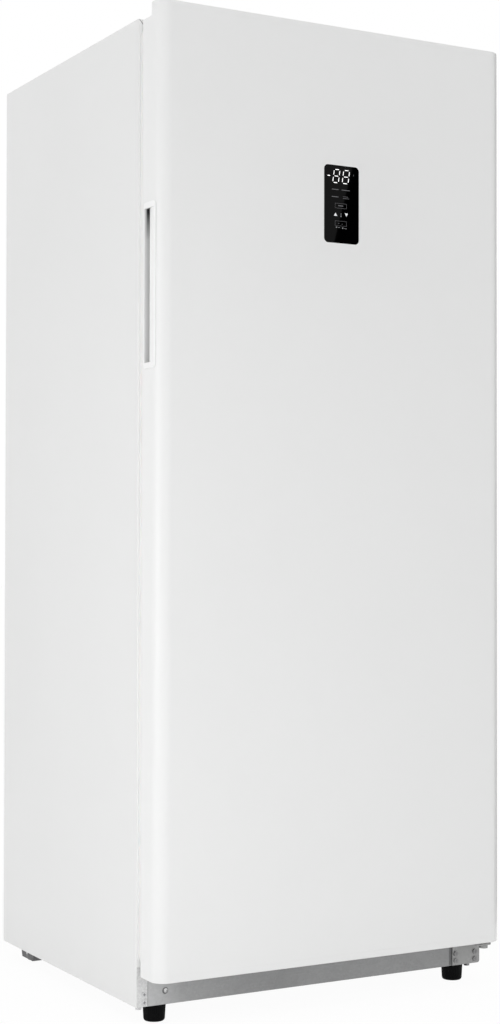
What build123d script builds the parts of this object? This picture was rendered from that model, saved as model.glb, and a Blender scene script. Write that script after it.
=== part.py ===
from build123d import *
import os

os.makedirs("parts", exist_ok=True)

# Millimetres. The front faces -Y, +Z is up, and the feet stand on Z = 0.

# Cabinet
cabinet_width = 711.0
cabinet_height = 1676.0
cabinet_depth = 606.0
foot_height = 30.0  # floor to the base rails
sheet = 0.8  # painted steel
fold_radius = 2.5  # outside radius of a fold
flange_width = 44.0  # front flange that the seal closes on
flange_foot_width = 22.0  # the same flange beside the base rail
rear_fold = 14.0
side_wall = 62.0  # outside of the panel to inside of the liner
liner_wall = 2.0
liner_lap = 10.0  # liner edge tucked behind the steel flange
deck_rise = 48.0  # base rail's bottom to the deck
deck_sheet = 1.0
rail_sheet = 1.5
machine_depth = 240.0
machine_height = 262.0
machine_lean = 30.0
rear_reach = 9.0  # what stands behind the rear folds

# Door
door_reach = 75.0  # door front ahead of the cabinet front
door_rise = 17.0  # door top over the cabinet top
door_lift = 53.5  # door bottom over the base rail's bottom
door_inset = 1.5  # each side, from the side panels
door_corner = 25.0  # rounded front edges
seal_gap = 14.0  # door's rear face to the cabinet
top_cap_height = 10.0
bottom_cap_height = 12.0
hem = 12.0  # skin folded in behind the door's edge
cap_wall = 3.0
plug_depth = 15.0  # bottom cap inside the skin
pocket_width = 100.0  # hinge pocket in each rear top corner
pocket_depth = 33.5
pocket_drop = 6.0  # pocket floor under the cabinet top
dike_half_gap = 12.5  # dike to the cabinet's liner
dike_width = 16.0
dike_reach = 20.0  # dike inside the cabinet
seal_width = 22.0
seal_rise = 20.0  # seal's bottom over the deck
seal_inset = 5.0  # seal's outer edge from the door's side
seal_hinge_inset = 18.0  # the same by the hinge, clear of the cabinet as the door turns
running_gap = 0.3  # between bodies that move past each other

# Hinges
pin_inset = 16.0  # pin from the cabinet's side
pin_reach = 36.0  # pin ahead of the cabinet's front
pin_radius = 5.0
bush_radius = 7.5
bush_flange = 8.0
bush_length = 20.0
bore_play = 0.06
hinge_plate = 3.0
hinge_arm_radius = 8.0
bracket_sheet = 2.5
upper_plate_reach = 76.0  # left of the pin
upper_plate_depth = 58.0
bracket_inset = 0.7  # from the cabinet's side
bracket_width = 61.2
bracket_height = 46.0

# Handle insert in the door's left side
handle_drop = 336.0  # under the door's top
handle_height = 280.0
handle_rear = 20.5  # ahead of the cabinet front
handle_front = 61.0
handle_proud = 1.2
handle_rim = 10.0
grip_depth = 28.0
grip_wall = 2.5
grip_rear = 24.0  # finger gap's rear edge ahead of the cabinet front
grip_lip = 37.0  # front edge of the same gap
grip_mouth = 56.6  # where the slanted lead-in begins
grip_lead = 1.2  # lead-in's depth at the mouth
grip_lead_end = 2.4  # and at the finger gap
grip_back = 6.5  # plate's inner face at the mouth
grip_corner = 3.0

# Display in the door's front
display_left = -31.6
display_width = 71.8
display_drop = 245.0  # under the door's top
display_height = 137.0
display_corner = 8.0
display_glass_thickness = 1.5
display_box_depth = 14.0

# Inside
shelf_count = 4
drawer_space = 248.0  # hump to the lowest shelf
top_space = 264.0  # highest shelf to the liner's top
shelf_thickness = 4.0
shelf_front_gap = 115.0  # behind the cabinet's front, past the door bins
duct_depth = 68.0
duct_sheet = 2.5
bin_height = 85.0
bin_reach = 95.0  # inside the cabinet
bin_wall = 2.2
bin_corner = 26.0
drawer_wall = 2.5
drawer_gap = 8.0  # from the liner's sides
drawer_travel = 85.0  # forward, up to the closed door's dike
rib_width = 6.0
rib_height = 8.0

# Feet and rollers
foot_inset = 45.5  # foot axis from the cabinet's side
foot_setback = 23.3  # foot axis behind the cabinet's front
foot_top_radius = 19.6
foot_bottom_radius = 17.9
foot_edge = 1.4  # slope round the sole
foot_rise = 8.0  # stud's end over the floor
stud_radius = 5.0
stud_length = 54.0
nut_across = 17.0
nut_height = 8.0
roller_radius = 14.0
roller_width = 21.0
roller_inset = 40.5
roller_setback = 60.0  # axle ahead of the rear folds
axle_radius = 3.0

# Lamp and door switch
lamp_half = 80.0
lamp_setback = 60.0
lamp_depth = 42.0
lamp_drop = 12.0
lamp_wall = 3.0
switch_inset = 93.5  # from the liner's right side
switch_rise = 10.0  # over the liner's top
switch_radius = 7.0
switch_depth = 32.0
plunger_radius = 4.0
plunger_end = 24.0  # behind the cabinet's front
plunger_travel = 6.0

# Evaporator and its fan, behind the duct cover
evap_inset = 68.5  # from the liner's sides
evap_rise = 60.0  # over the hump
evap_height = 220.0
evap_fins = 25
evap_pitch = 36.0
evap_passes = 6
evap_tube_radius = 4.0
fin_sheet = 0.8
evap_fan_rise = 110.0
evap_fan_radius = 52.0
evap_hub_radius = 14.0
evap_hub_length = 14.0
evap_motor_radius = 24.0
evap_arm_reach = 62.0
evap_arm_width = 18.0
evap_arm_sheet = 3.0
shaft_radius = 2.5
fan_blades = 5
blade_tilt = 28.0
blade_share = 0.55  # blade's width over the wheel's radius
blade_sheet = 1.6
blade_corner = 6.0

# Machine room
compressor_inset = 185.5  # axis from the cabinet's left side
compressor_setback = 118.0  # ahead of the rear folds
shell_half = (72.0, 60.5)
shell_height = 142.0
shell_crown = 34.0
seam_reach = 2.5
mount_half = (95.0, 62.0)
mount_sheet = 3.0
grommet_half = (80.0, 50.0)
grommet_radius = 11.0
grommet_height = 16.0
bolt_radius = 4.0
pan_half = (95.0, 66.0)
pan_height = 32.0
pan_wall = 2.0
pan_corner = 10.0
coil_inset = 55.5  # from the cabinet's right side
coil_width = 150.0
coil_setback = 45.0  # rear edge ahead of the rear folds
coil_reach = 165.0  # front edge ahead of the rear folds
coil_height = 170.0
coil_fins = 16
coil_rows = 4
coil_row_pitch = 30.0
coil_pitch = 26.0
coil_passes = 6
coil_tube_radius = 2.4
coil_tube_rise = 24.0
suction_radius = 4.0
discharge_radius = 3.0
tube_bend = 9.0
drier_radius = 9.0
drier_length = 120.0
blower_gap = 54.0  # fan ahead of the coil
blower_rise = 90.0
blower_radius = 70.0
blower_hub_radius = 16.0
blower_hub_length = 16.0
blower_motor_radius = 26.0
blower_motor_length = 44.0
blower_post_width = 20.0
field_inset = 65.5  # louvred field from the cabinet's sides
louvre_reach = 7.0
louvre_rows = 9
louvre_columns = 5
louvre_pitch = 105.0
louvre_length = 88.0
louvre_width = 7.0
inlet_inset = 39.5

# Worked out from the sizes above
half_width = cabinet_width / 2
base_z = foot_height
top_z = base_z + cabinet_height
front_y = (door_reach - cabinet_depth - rear_reach) / 2
rear_y = front_y + cabinet_depth
deck_z = base_z + deck_rise
machine_front = rear_y - machine_depth
machine_top = base_z + machine_height
inner_half = half_width - sheet

room_half = half_width - side_wall
room_top = top_z - side_wall
room_floor = deck_z + side_wall
room_rear = rear_y - side_wall
hump_front = machine_front - side_wall + 6.0
hump_top = machine_top + side_wall - 2.0
shelf_low = hump_top + drawer_space
shelf_pitch = (room_top - top_space - shelf_low) / (shelf_count - 1)
shelf_zs = [shelf_low + index * shelf_pitch for index in range(shelf_count)]
bin_zs = shelf_zs  # the bins stand level with the shelves

door_half = half_width - door_inset
door_front = front_y - door_reach
door_rear = front_y - seal_gap
door_top = top_z + door_rise
door_bottom = base_z + door_lift
skin_top = door_top - top_cap_height
skin_bottom = door_bottom + bottom_cap_height
pocket_floor = top_z - pocket_drop
cap_seat = pocket_floor - cap_wall
plate_front = door_rear - sheet - liner_wall
plate_rear = door_rear - sheet
dike_half = room_half - dike_half_gap
dike_low = room_floor + dike_half_gap
dike_high = room_top - dike_half_gap
dike_rear = front_y + dike_reach

pin_x = half_width - pin_inset
pin_y = front_y - pin_reach
bracket_top = base_z + bracket_height
bracket_right = half_width - bracket_inset
bracket_left = bracket_right - bracket_width


def at_x(x):
    return Plane.YZ.offset(x)  # drawn in Y and Z


def at_y(y):
    return Plane.XZ.offset(-y)  # drawn in X and Z, facing the front


def at_z(z):
    return Plane.XY.offset(z)  # drawn in X and Y


def block(x_span, y_span, z_span, mode=Mode.ADD):
    spans = [sorted(span) for span in (x_span, y_span, z_span)]
    with Locations([Vector(*[(low + high) / 2 for low, high in spans])]):
        Box(*[high - low for low, high in spans], mode=mode)


def area(a_span, b_span, mode=Mode.ADD, corner=0.0):
    (a_low, a_high), (b_low, b_high) = sorted(a_span), sorted(b_span)
    with Locations([((a_low + a_high) / 2, (b_low + b_high) / 2)]):
        if corner > 0:
            RectangleRounded(a_high - a_low, b_high - b_low, corner, mode=mode)
        else:
            Rectangle(a_high - a_low, b_high - b_low, mode=mode)


def polygon(*points):
    Polygon(*points, align=None)


def cut_round(x, y, radius, z_low, z_high):
    with BuildSketch(at_z(z_low)) as hole:
        with Locations((x, y)):
            Circle(radius)
    extrude(hole.sketch, amount=z_high - z_low, mode=Mode.SUBTRACT)


# ---------------------------------------------------------------- cabinet panels
# Front screws, as X and height over the base rail's bottom.
flange_screws = [(14.8 - half_width, 21.1), (14.8 - half_width, 7.5)]
bracket_screws = [
    (bracket_left + 7.2, 22.1),
    (bracket_left + 7.2, 9.2),
    (bracket_right - 10.8, 22.0),
    (bracket_right - 10.8, 8.5),
]
screw_hole = 2.2
rear_screw_zs = (60.0, 170.0, 280.0)
rear_screw_x = half_width - rear_fold / 2


def screw_holes(points, y_low, y_high):
    with BuildSketch(at_y(y_high)) as holes:
        with Locations(*[(x, base_z + z) for x, z in points]):
            Circle(screw_hole)
    extrude(holes.sketch, amount=y_high - y_low, mode=Mode.SUBTRACT)


def mitre(side, lift):
    """Corner cut at 45 degrees where the side and top flanges meet."""
    near = half_width - 2 * sheet
    far = half_width - flange_width - 1.0
    with BuildSketch(at_y(front_y + 3.0)) as corner:
        polygon(
            (side * near, top_z + 1.0),
            (side * near, top_z - 2 * sheet + lift),
            (side * far, top_z - flange_width - 1.0 + lift),
            (side * far, top_z + 1.0),
        )
    extrude(corner.sketch, amount=4.0, mode=Mode.SUBTRACT)


def make_side_panel(side):
    outer = side * half_width
    back = side * (half_width - flange_width - 20.0)
    with BuildPart() as panel:
        with BuildSketch(at_z(base_z)):
            area((back, outer), (front_y, rear_y), corner=fold_radius)
            area(
                (back + side * sheet, outer - side * sheet),
                (front_y + sheet, rear_y - sheet),
                mode=Mode.SUBTRACT,
                corner=fold_radius - sheet,
            )
            area(
                (back, outer - side * flange_width),
                (front_y, rear_y),
                mode=Mode.SUBTRACT,
            )
            area(
                (outer - side * flange_width, outer - side * rear_fold),
                (rear_y - 2 * sheet, rear_y),
                mode=Mode.SUBTRACT,
            )
        extrude(amount=cabinet_height)
        block(
            (outer - side * flange_width, outer - side * flange_foot_width),
            (front_y, front_y + sheet),
            (base_z, deck_z),
            mode=Mode.SUBTRACT,
        )
        mitre(side, -0.2)
        points = flange_screws if side < 0 else bracket_screws[2:]
        screw_holes(points, front_y - 1.0, front_y + sheet + 0.5)
        with BuildSketch(at_y(rear_y + 1.0)):
            with Locations(*[(side * rear_screw_x, z) for z in rear_screw_zs]):
                Circle(screw_hole)
        extrude(amount=1.0 + 1.5 * sheet, mode=Mode.SUBTRACT)
    return panel


side_panel_left = make_side_panel(-1)
side_panel_right = make_side_panel(1)

with BuildPart() as top_panel:
    with BuildSketch(at_x(-inner_half)):
        low = top_z - flange_width - 20.0
        area((front_y, rear_y), (low, top_z), corner=fold_radius)
        area(
            (front_y + sheet, rear_y - sheet),
            (low + sheet, top_z - sheet),
            mode=Mode.SUBTRACT,
            corner=fold_radius - sheet,
        )
        area((front_y, rear_y), (low, top_z - flange_width), mode=Mode.SUBTRACT)
        area(
            (rear_y - 2 * sheet, rear_y),
            (top_z - flange_width, top_z - rear_fold),
            mode=Mode.SUBTRACT,
        )
    extrude(amount=2 * inner_half)
    for side in (-1, 1):
        block(
            (side * inner_half, side * (inner_half - sheet)),
            (front_y + 3 * fold_radius, rear_y - 3 * fold_radius),
            (top_z - rear_fold, top_z - sheet / 2),
        )
        # The end of the front flange is cut back below the mitre line.
        with BuildSketch(at_y(front_y + 3.0)):
            polygon(
                (side * (half_width + 1.0), top_z + 1.2),
                (side * (half_width + 1.0), top_z - flange_width - 2.0),
                (side * (half_width - flange_width - 2.0), top_z - flange_width - 1.8),
            )
        extrude(amount=4.0, mode=Mode.SUBTRACT)
        # The rear fold stops clear of the side panel's own fold.
        block(
            (side * (half_width - rear_fold - 1.0), side * half_width),
            (rear_y - 4.0, rear_y + 1.0),
            (top_z - flange_width, top_z - sheet),
            mode=Mode.SUBTRACT,
        )
        block(
            (side * (half_width - rear_fold - 1.0), side * half_width),
            (rear_y - sheet - 0.2, rear_y + 1.0),
            (top_z - 2 * sheet, top_z + 1.0),
            mode=Mode.SUBTRACT,
        )
        # Its corners stay clear of the bends in the side panel's folds.
        for y in (front_y, rear_y):
            block(
                (side * (inner_half - fold_radius), side * half_width),
                (y - fold_radius - 0.2, y + fold_radius + 0.2),
                (top_z - 2 * sheet, top_z + 1.0),
                mode=Mode.SUBTRACT,
            )

with BuildPart() as back_panel:
    block(
        (-(inner_half - fold_radius), inner_half - fold_radius),
        (rear_y - 2 * sheet, rear_y - sheet),
        (machine_top - 10.0, top_z - fold_radius),
    )

deck_front = front_y + sheet + liner_wall
with BuildPart() as bottom_deck:
    with BuildSketch(at_x(-inner_half)):
        polygon(
            (deck_front, deck_z),
            (machine_front, deck_z),
            (machine_front + machine_lean, machine_top),
            (rear_y - 2 * sheet, machine_top),
            (rear_y - 2 * sheet, machine_top - deck_sheet),
            (machine_front + machine_lean + deck_sheet, machine_top - deck_sheet),
            (machine_front + deck_sheet, deck_z - deck_sheet),
            (deck_front, deck_z - deck_sheet),
        )
    extrude(amount=2 * inner_half)
    flange_half = half_width - flange_width - running_gap
    block(
        (-flange_half, flange_half),
        (front_y, front_y + sheet),
        (deck_z - deck_sheet, deck_z + flange_width),
    )
    block(
        (-flange_half, flange_half),
        (front_y, deck_front + 1.0),
        (deck_z - deck_sheet, deck_z),
    )
    for side in (-1, 1):
        # Rear corners stay clear of the bend in the side panel's rear fold.
        block(
            (side * (inner_half - fold_radius), side * half_width),
            (rear_y - fold_radius - 0.2, rear_y),
            (machine_top - 2 * deck_sheet, machine_top + deck_sheet),
            mode=Mode.SUBTRACT,
        )

# ---------------------------------------------------------------- liner and foam


def make_room(grow, front, corner):
    """The cold room as one solid, grown outwards by a wall."""
    with BuildPart() as space:
        with BuildSketch(at_x(-(room_half + grow))):
            polygon(
                (front, room_floor - grow),
                (hump_front + grow, room_floor - grow),
                (hump_front + grow, hump_top - grow),
                (room_rear + grow, hump_top - grow),
                (room_rear + grow, room_top + grow),
                (front, room_top + grow),
            )
        extrude(amount=2 * (room_half + grow))
        top_face = space.faces().sort_by(Axis.Z)[-1]
        fillet(top_face.edges().filter_by(Axis.Y), corner + grow)
    return space.part


room_corner = 18.0
room_space = make_room(0.0, front_y - 5.0, room_corner)
room_shell = make_room(liner_wall, front_y + sheet, room_corner)

shelf_front = front_y + shelf_front_gap
duct_front = room_rear - duct_depth
shelf_rear = duct_front - 6.0
shelf_half = room_half - 1.5
drawer_front = dike_rear + 2.0 + drawer_travel
switch_x = room_half - switch_inset
switch_z = room_top + switch_rise
lamp_front = front_y + lamp_setback

with BuildPart() as cabinet_liner:
    add(room_shell)
    lap_half = half_width - flange_width + liner_lap
    block(
        (-lap_half, lap_half),
        (front_y + sheet, front_y + sheet + liner_wall),
        (deck_z + flange_width - liner_lap, top_z - flange_width + liner_lap),
    )
    add(room_space, mode=Mode.SUBTRACT)
    for side in (-1, 1):
        wall = side * (room_half + liner_wall / 2)
        rib = side * (room_half - rib_width)
        for z in shelf_zs:
            block((rib, wall), (shelf_front + 16.0, shelf_rear - 16.0), (z - rib_height, z))
        # Ledges that the drawers slide on.
        block((rib, wall), (drawer_front, hump_front - 3.0), (room_floor - 1.0, room_floor + rib_height))
        block((rib, wall), (drawer_front, shelf_rear - 16.0), (hump_top + 1.0, hump_top + rib_height))
    with BuildSketch(at_y(front_y + sheet + liner_wall + 1.0)):
        with Locations((switch_x, switch_z)):
            Circle(switch_radius)
    extrude(amount=liner_wall + 2.0, mode=Mode.SUBTRACT)

with BuildPart() as cabinet_foam:
    foam_rear = rear_y - 2 * sheet
    with BuildSketch(at_x(-inner_half)):
        polygon(
            (deck_front, deck_z),
            (machine_front, deck_z),
            (machine_front + machine_lean, machine_top),
            (foam_rear, machine_top),
            (foam_rear, top_z - sheet - 3.0),
            (foam_rear - 3.0, top_z - sheet),
            (deck_front, top_z - sheet),
        )
    extrude(amount=2 * inner_half)
    add(room_shell, mode=Mode.SUBTRACT)
    for side in (-1, 1):
        # Room for the top panel's side flanges and the side panels' rear folds.
        block(
            (side * inner_half, side * (inner_half - 3.0)),
            (front_y, rear_y),
            (top_z - rear_fold - 1.0, top_z),
            mode=Mode.SUBTRACT,
        )
        block(
            (side * inner_half, side * (inner_half - 3.0)),
            (foam_rear - 3.0, foam_rear),
            (machine_top, top_z),
            mode=Mode.SUBTRACT,
        )
    with BuildSketch(at_y(front_y + 34.0)):
        with Locations((switch_x, switch_z)):
            Circle(switch_radius + 0.2)
    extrude(amount=34.0, mode=Mode.SUBTRACT)

# ---------------------------------------------------------------- base
rail_left = -(half_width - flange_foot_width) + 0.3
rail_right = bracket_left - 5.7  # the rail steps back here, behind the hinge bracket
channel_right = bracket_left + 3.0
channel_step = 4.0
tab = 18.0
rail_foot_depth = 13.5  # bottom flange, ahead of the feet's studs
dimple_radius = 5.6
dimple_depth = 3.0
with BuildPart() as base_rail_front:
    rail_top = deck_z - deck_sheet
    block((rail_left, rail_right), (front_y, front_y + rail_sheet), (base_z, rail_top))
    tab_front = front_y + sheet
    tab_span = (tab_front, tab_front + rail_sheet)
    block((rail_left - tab, rail_left + 2.0), tab_span, (base_z, rail_top))
    # Shallow channel between the face and the hinge bracket's tab.
    channel_y = front_y + channel_step
    channel_back = channel_y + rail_sheet
    block((rail_right - rail_sheet, rail_right), (front_y, channel_back), (base_z, rail_top))
    block((rail_right - rail_sheet, channel_right), (channel_y, channel_back), (base_z, rail_top))
    block((channel_right - rail_sheet, channel_right), (tab_front, channel_back), (base_z, rail_top))
    block((channel_right - rail_sheet, -rail_left + tab), tab_span, (base_z, rail_top))
    foot_span = (front_y + rail_sheet, front_y + rail_foot_depth)
    block((rail_left - tab, -rail_left + tab), foot_span, (base_z, base_z + rail_sheet))
    lip_y = (front_y + rail_sheet / 2, front_y + 20.0)
    block((rail_left, rail_right), lip_y, (rail_top - rail_sheet, rail_top))
    dimple = (rail_left + 32.6, base_z + 23.3)
    for radius, y, reach, mode in (
        (dimple_radius + rail_sheet, front_y + dimple_depth + rail_sheet, dimple_depth, Mode.ADD),
        (dimple_radius, front_y + dimple_depth, dimple_depth + 1.0, Mode.SUBTRACT),
    ):
        with BuildSketch(at_y(y)) as face:
            with Locations(dimple):
                Circle(radius)
        extrude(face.sketch, amount=reach, mode=mode)
    screw_holes(flange_screws + bracket_screws, front_y, front_y + 3 * rail_sheet)

foot_x = half_width - foot_inset
foot_y = front_y + foot_setback
side_rail_sheet = 2.0
side_rail_foot = 65.0
ledge_z = base_z + rail_sheet
side_rail_front = channel_back + 3 * running_gap
bolt_x = half_width - 14.0
bolt_y = front_y + 20.0
bolt_radius = 3.0
bolt_end = 3.0  # over the ledge
bolt_head = 9.6
bolt_head_radius = 5.8
washer_radius = 6.2
washer = 1.2
with BuildPart() as base_rails:
    for side in (-1, 1):
        outside = side * inner_half
        inside = side * (inner_half - side_rail_foot)
        block(
            (outside, outside - side * side_rail_sheet),
            (side_rail_front, rear_y - 3.0),
            (ledge_z, deck_z - deck_sheet),
        )
        block(
            (outside, inside),
            (side_rail_front, rear_y - 3.0),
            (ledge_z, ledge_z + side_rail_sheet),
        )
        with BuildSketch(at_z(ledge_z + side_rail_sheet)):
            with Locations((side * foot_x, foot_y)):
                RegularPolygon(nut_across / 2, 6, major_radius=False)
        extrude(amount=nut_height)
        with BuildSketch(at_z(ledge_z - 1.0)):
            with Locations((side * foot_x, foot_y)):
                Circle(stud_radius + bore_play)
        extrude(amount=nut_height + side_rail_sheet + 2.0, mode=Mode.SUBTRACT)
        cut_round(side * bolt_x, bolt_y, bolt_radius + bore_play, ledge_z - 1.0, ledge_z + bolt_end)

with BuildPart() as compressor_plate:
    plate_z = ledge_z + side_rail_sheet
    plate_half = inner_half - side_rail_sheet - 0.3
    block((-plate_half, plate_half), (machine_front + 10.0, rear_y - 3.0), (plate_z, plate_z + 2.0))
    block((-plate_half, plate_half), (machine_front + 10.0, machine_front + 12.0), (plate_z, plate_z + 12.0))

# ---------------------------------------------------------------- hinges
with BuildPart() as lower_hinge_bracket:
    with BuildSketch(at_y(front_y)):
        area((bracket_left, bracket_right), (base_z + 0.5, bracket_top))
    extrude(amount=bracket_sheet)
    corner = lower_hinge_bracket.edges().filter_by(Axis.Y).group_by(Axis.Z)[0].sort_by(Axis.X)[-1]
    fillet(corner, 5.0)
    with BuildSketch(at_z(bracket_top - bracket_sheet)):
        area((pin_x - 24.0, pin_x + 9.0), (pin_y - 16.0, front_y - bracket_sheet / 2))
    extrude(amount=bracket_sheet)
    arm_corners = lower_hinge_bracket.edges().filter_by(Axis.Z).group_by(Axis.Y)[0]
    fillet(arm_corners, 8.0)
    screw_holes(bracket_screws, front_y - bracket_sheet - 1.0, front_y + 1.0)
    with BuildSketch(at_z(bracket_top - bracket_sheet - 1.0)):
        with Locations((pin_x, pin_y)):
            Circle(pin_radius + 0.1)
    extrude(amount=bracket_sheet + 2.0, mode=Mode.SUBTRACT)


def hinge_outline(radius, left, right, rear):
    """Arm from the pin back to a pad on the cabinet's top, seen from above."""
    arm_end = front_y + 2.0
    with Locations((pin_x, pin_y)):
        Circle(radius)
    polygon(
        (pin_x + radius, pin_y),
        (pin_x + radius / 3, arm_end),
        (right, arm_end + 3.0),
        (right, rear),
        (left, rear),
        (left, arm_end),
        (pin_x - 2.2 * radius, arm_end),
        (pin_x - radius, pin_y),
    )


upper_plate_left = pin_x - upper_plate_reach
upper_plate_right = half_width - 8.0
upper_plate_rear = front_y + upper_plate_depth
hinge_screw_points = [
    (upper_plate_left + 12.0, front_y + 18.0),
    (upper_plate_left + 12.0, front_y + 46.0),
    (upper_plate_right - 14.0, front_y + 46.0),
]
with BuildPart() as upper_hinge_plate:
    with BuildSketch(at_z(top_z)):
        hinge_outline(hinge_arm_radius, upper_plate_left, upper_plate_right, upper_plate_rear)
        with Locations((pin_x, pin_y)):
            Circle(pin_radius + 0.1, mode=Mode.SUBTRACT)
        with Locations(*hinge_screw_points):
            Circle(screw_hole, mode=Mode.SUBTRACT)
    extrude(amount=hinge_plate)

cover_rise = 15.0
cover_wall = 1.6
cover_grow = 1.5
with BuildPart() as hinge_cover:
    cover_left = upper_plate_left - 4.0
    cover_right = upper_plate_right + 4.0
    cover_rear = upper_plate_rear + 4.0
    with BuildSketch(at_z(top_z)):
        hinge_outline(hinge_arm_radius + cover_grow, cover_left, cover_right, cover_rear)
    extrude(amount=cover_rise)
    top_edges = hinge_cover.faces().sort_by(Axis.Z)[-1].edges()
    chamfer(top_edges, 1.0)
    with BuildSketch(at_z(top_z - 1.0)):
        hinge_outline(hinge_arm_radius + 0.2, cover_left + 3.0, cover_right - 3.0, cover_rear - 3.0)
    extrude(amount=cover_rise + 1.0 - 2 * cover_wall, mode=Mode.SUBTRACT)

pin_grip = 16.0  # length of pin inside its bush
with BuildPart() as hinge_pins:
    # Lower pin: head under the bracket, shank up into the door.
    with BuildSketch(at_z(bracket_top - bracket_sheet - 8.0)):
        with Locations((pin_x, pin_y)):
            Circle(8.0)
    extrude(amount=8.0)
    with BuildSketch(at_z(bracket_top - bracket_sheet)):
        with Locations((pin_x, pin_y)):
            Circle(pin_radius)
    extrude(amount=door_bottom + pin_grip - bracket_top + bracket_sheet)
    # Upper pin: riveted in the plate, shank down into the door.
    with BuildSketch(at_z(top_z + hinge_plate)):
        with Locations((pin_x, pin_y)):
            Circle(pin_radius + 2.0)
    extrude(amount=3.0)
    with BuildSketch(at_z(top_z + hinge_plate)):
        with Locations((pin_x, pin_y)):
            Circle(pin_radius)
    extrude(amount=-(hinge_plate + pocket_drop + pin_grip))

with BuildPart() as hinge_bushes:
    for low, high, flange_low, flange_high in (
        (door_bottom, door_bottom + bush_length, bracket_top + running_gap, door_bottom),
        (pocket_floor - bush_length, pocket_floor, pocket_floor, top_z - running_gap),
    ):
        with BuildSketch(at_z(low)):
            with Locations((pin_x, pin_y)):
                Circle(bush_radius)
        extrude(amount=high - low)
        with BuildSketch(at_z(flange_low)):
            with Locations((pin_x, pin_y)):
                Circle(bush_flange)
        extrude(amount=flange_high - flange_low)
        with BuildSketch(at_z(flange_low - bush_length)):
            with Locations((pin_x, pin_y)):
                Circle(pin_radius + bore_play)
        extrude(amount=3 * bush_length, mode=Mode.SUBTRACT)

# ---------------------------------------------------------------- door


def door_outline(grow, rear):
    """The door from above: flat sides and rounded front edges."""
    reach = door_half + grow
    radius = door_corner + grow
    front = door_front - grow
    with BuildLine() as edge:
        Line((-reach, rear), (-reach, front + radius))
        RadiusArc((-reach, front + radius), (-reach + radius, front), -radius)
        Line((-reach + radius, front), (reach - radius, front))
        RadiusArc((reach - radius, front), (reach, front + radius), -radius)
        Line((reach, front + radius), (reach, rear))
        Line((reach, rear), (-reach, rear))
    make_face(edge.edges())


def hinge_pockets(z_low):
    for side in (-1, 1):
        block(
            (side * (door_half - pocket_width), side * (door_half + 1.0)),
            (front_y - seal_gap - pocket_depth, door_rear + 1.0),
            (z_low, door_top + 1.0),
            mode=Mode.SUBTRACT,
        )


handle_z = door_top - handle_drop - handle_height
cup_low = handle_z + handle_rim - grip_wall
cup_high = handle_z + handle_height - handle_rim + grip_wall
cup_front = front_y - handle_front + 1.5
cup_rear = front_y - grip_rear + grip_wall
cup_inner_x = -(door_half - grip_depth)
display_z = door_top - display_drop - display_height
display_right = display_left + display_width

with BuildPart() as door_skin:
    with BuildSketch(at_z(skin_bottom)):
        door_outline(0.0, door_rear)
    extrude(amount=skin_top - skin_bottom)
    with BuildSketch(at_z(skin_bottom)):
        door_outline(-sheet, door_rear - sheet)
    extrude(amount=skin_top - skin_bottom, mode=Mode.SUBTRACT)
    block(
        (-(door_half - hem), door_half - hem),
        (door_rear - 2 * sheet, door_rear + 1.0),
        (skin_bottom, skin_top),
        mode=Mode.SUBTRACT,
    )
    hinge_pockets(pocket_floor)
    block((-half_width, cup_inner_x), (cup_front, cup_rear), (cup_low, cup_high), mode=Mode.SUBTRACT)
    with BuildSketch(at_y(door_front + 2.0)):
        area(
            (display_left - 0.1, display_right + 0.1),
            (display_z - 0.1, display_z + display_height + 0.1),
            corner=display_corner,
        )
    extrude(amount=4.0, mode=Mode.SUBTRACT)

with BuildPart() as door_cap_top:
    with BuildSketch(at_z(skin_top)):
        door_outline(0.0, door_rear)
    extrude(amount=top_cap_height)
    rim = door_cap_top.faces().sort_by(Axis.Z)[-1].edges()
    fillet(rim, 1.5)
    with BuildSketch(at_z(cap_seat)):
        door_outline(-sheet - 0.1, plate_front)
    extrude(amount=skin_top - cap_seat)
    block(
        (-(door_half - pocket_width - cap_wall), door_half - pocket_width - cap_wall),
        (door_front + sheet + cap_wall, plate_front - cap_wall),
        (cap_seat, door_top - cap_wall),
        mode=Mode.SUBTRACT,
    )
    hinge_pockets(pocket_floor)
    with BuildSketch(at_z(pocket_floor - bush_length - 2.0)):
        with Locations((pin_x, pin_y)):
            Circle(bush_radius + 3.5)
    extrude(amount=bush_length + 2.0 - cap_wall / 2)
    cut_round(pin_x, pin_y, bush_radius, pocket_floor - bush_length, pocket_floor)

with BuildPart() as door_cap_bottom:
    with BuildSketch(at_z(door_bottom)):
        door_outline(0.0, door_rear)
    extrude(amount=bottom_cap_height)
    rim = door_cap_bottom.faces().sort_by(Axis.Z)[0].edges()
    fillet(rim, 1.5)
    with BuildSketch(at_z(skin_bottom)):
        door_outline(-sheet - 0.1, plate_front)
    extrude(amount=plug_depth)
    block(
        (-(door_half - 60.0), door_half - 60.0),
        (door_front + 12.0, plate_front - 10.0),
        (door_bottom + cap_wall, skin_bottom + plug_depth),
        mode=Mode.SUBTRACT,
    )
    cut_round(pin_x, pin_y, bush_radius, door_bottom, door_bottom + bush_length)

handle_span = (handle_z, handle_z + handle_height)
with BuildPart() as handle_rim_band:
    with BuildSketch(at_z(handle_span[0])):
        door_outline(handle_proud, door_rear)
    extrude(amount=handle_height)
    with BuildSketch(at_z(handle_span[0])):
        door_outline(0.0, door_rear)
    extrude(amount=handle_height, mode=Mode.SUBTRACT)
    with BuildSketch(at_x(-half_width - 5.0)):
        area((front_y - handle_front, front_y - handle_rear), handle_span, corner=6.0)
    extrude(amount=40.0, mode=Mode.INTERSECT)

with BuildPart() as handle_cup:
    with BuildSketch(at_z(cup_low + 0.1)):
        door_outline(0.0, door_rear)
    extrude(amount=cup_high - cup_low - 0.2)
    block(
        (-half_width, cup_inner_x - 0.1),
        (cup_front + 0.1, cup_rear - 0.1),
        (cup_low, cup_high),
        mode=Mode.INTERSECT,
    )

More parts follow.
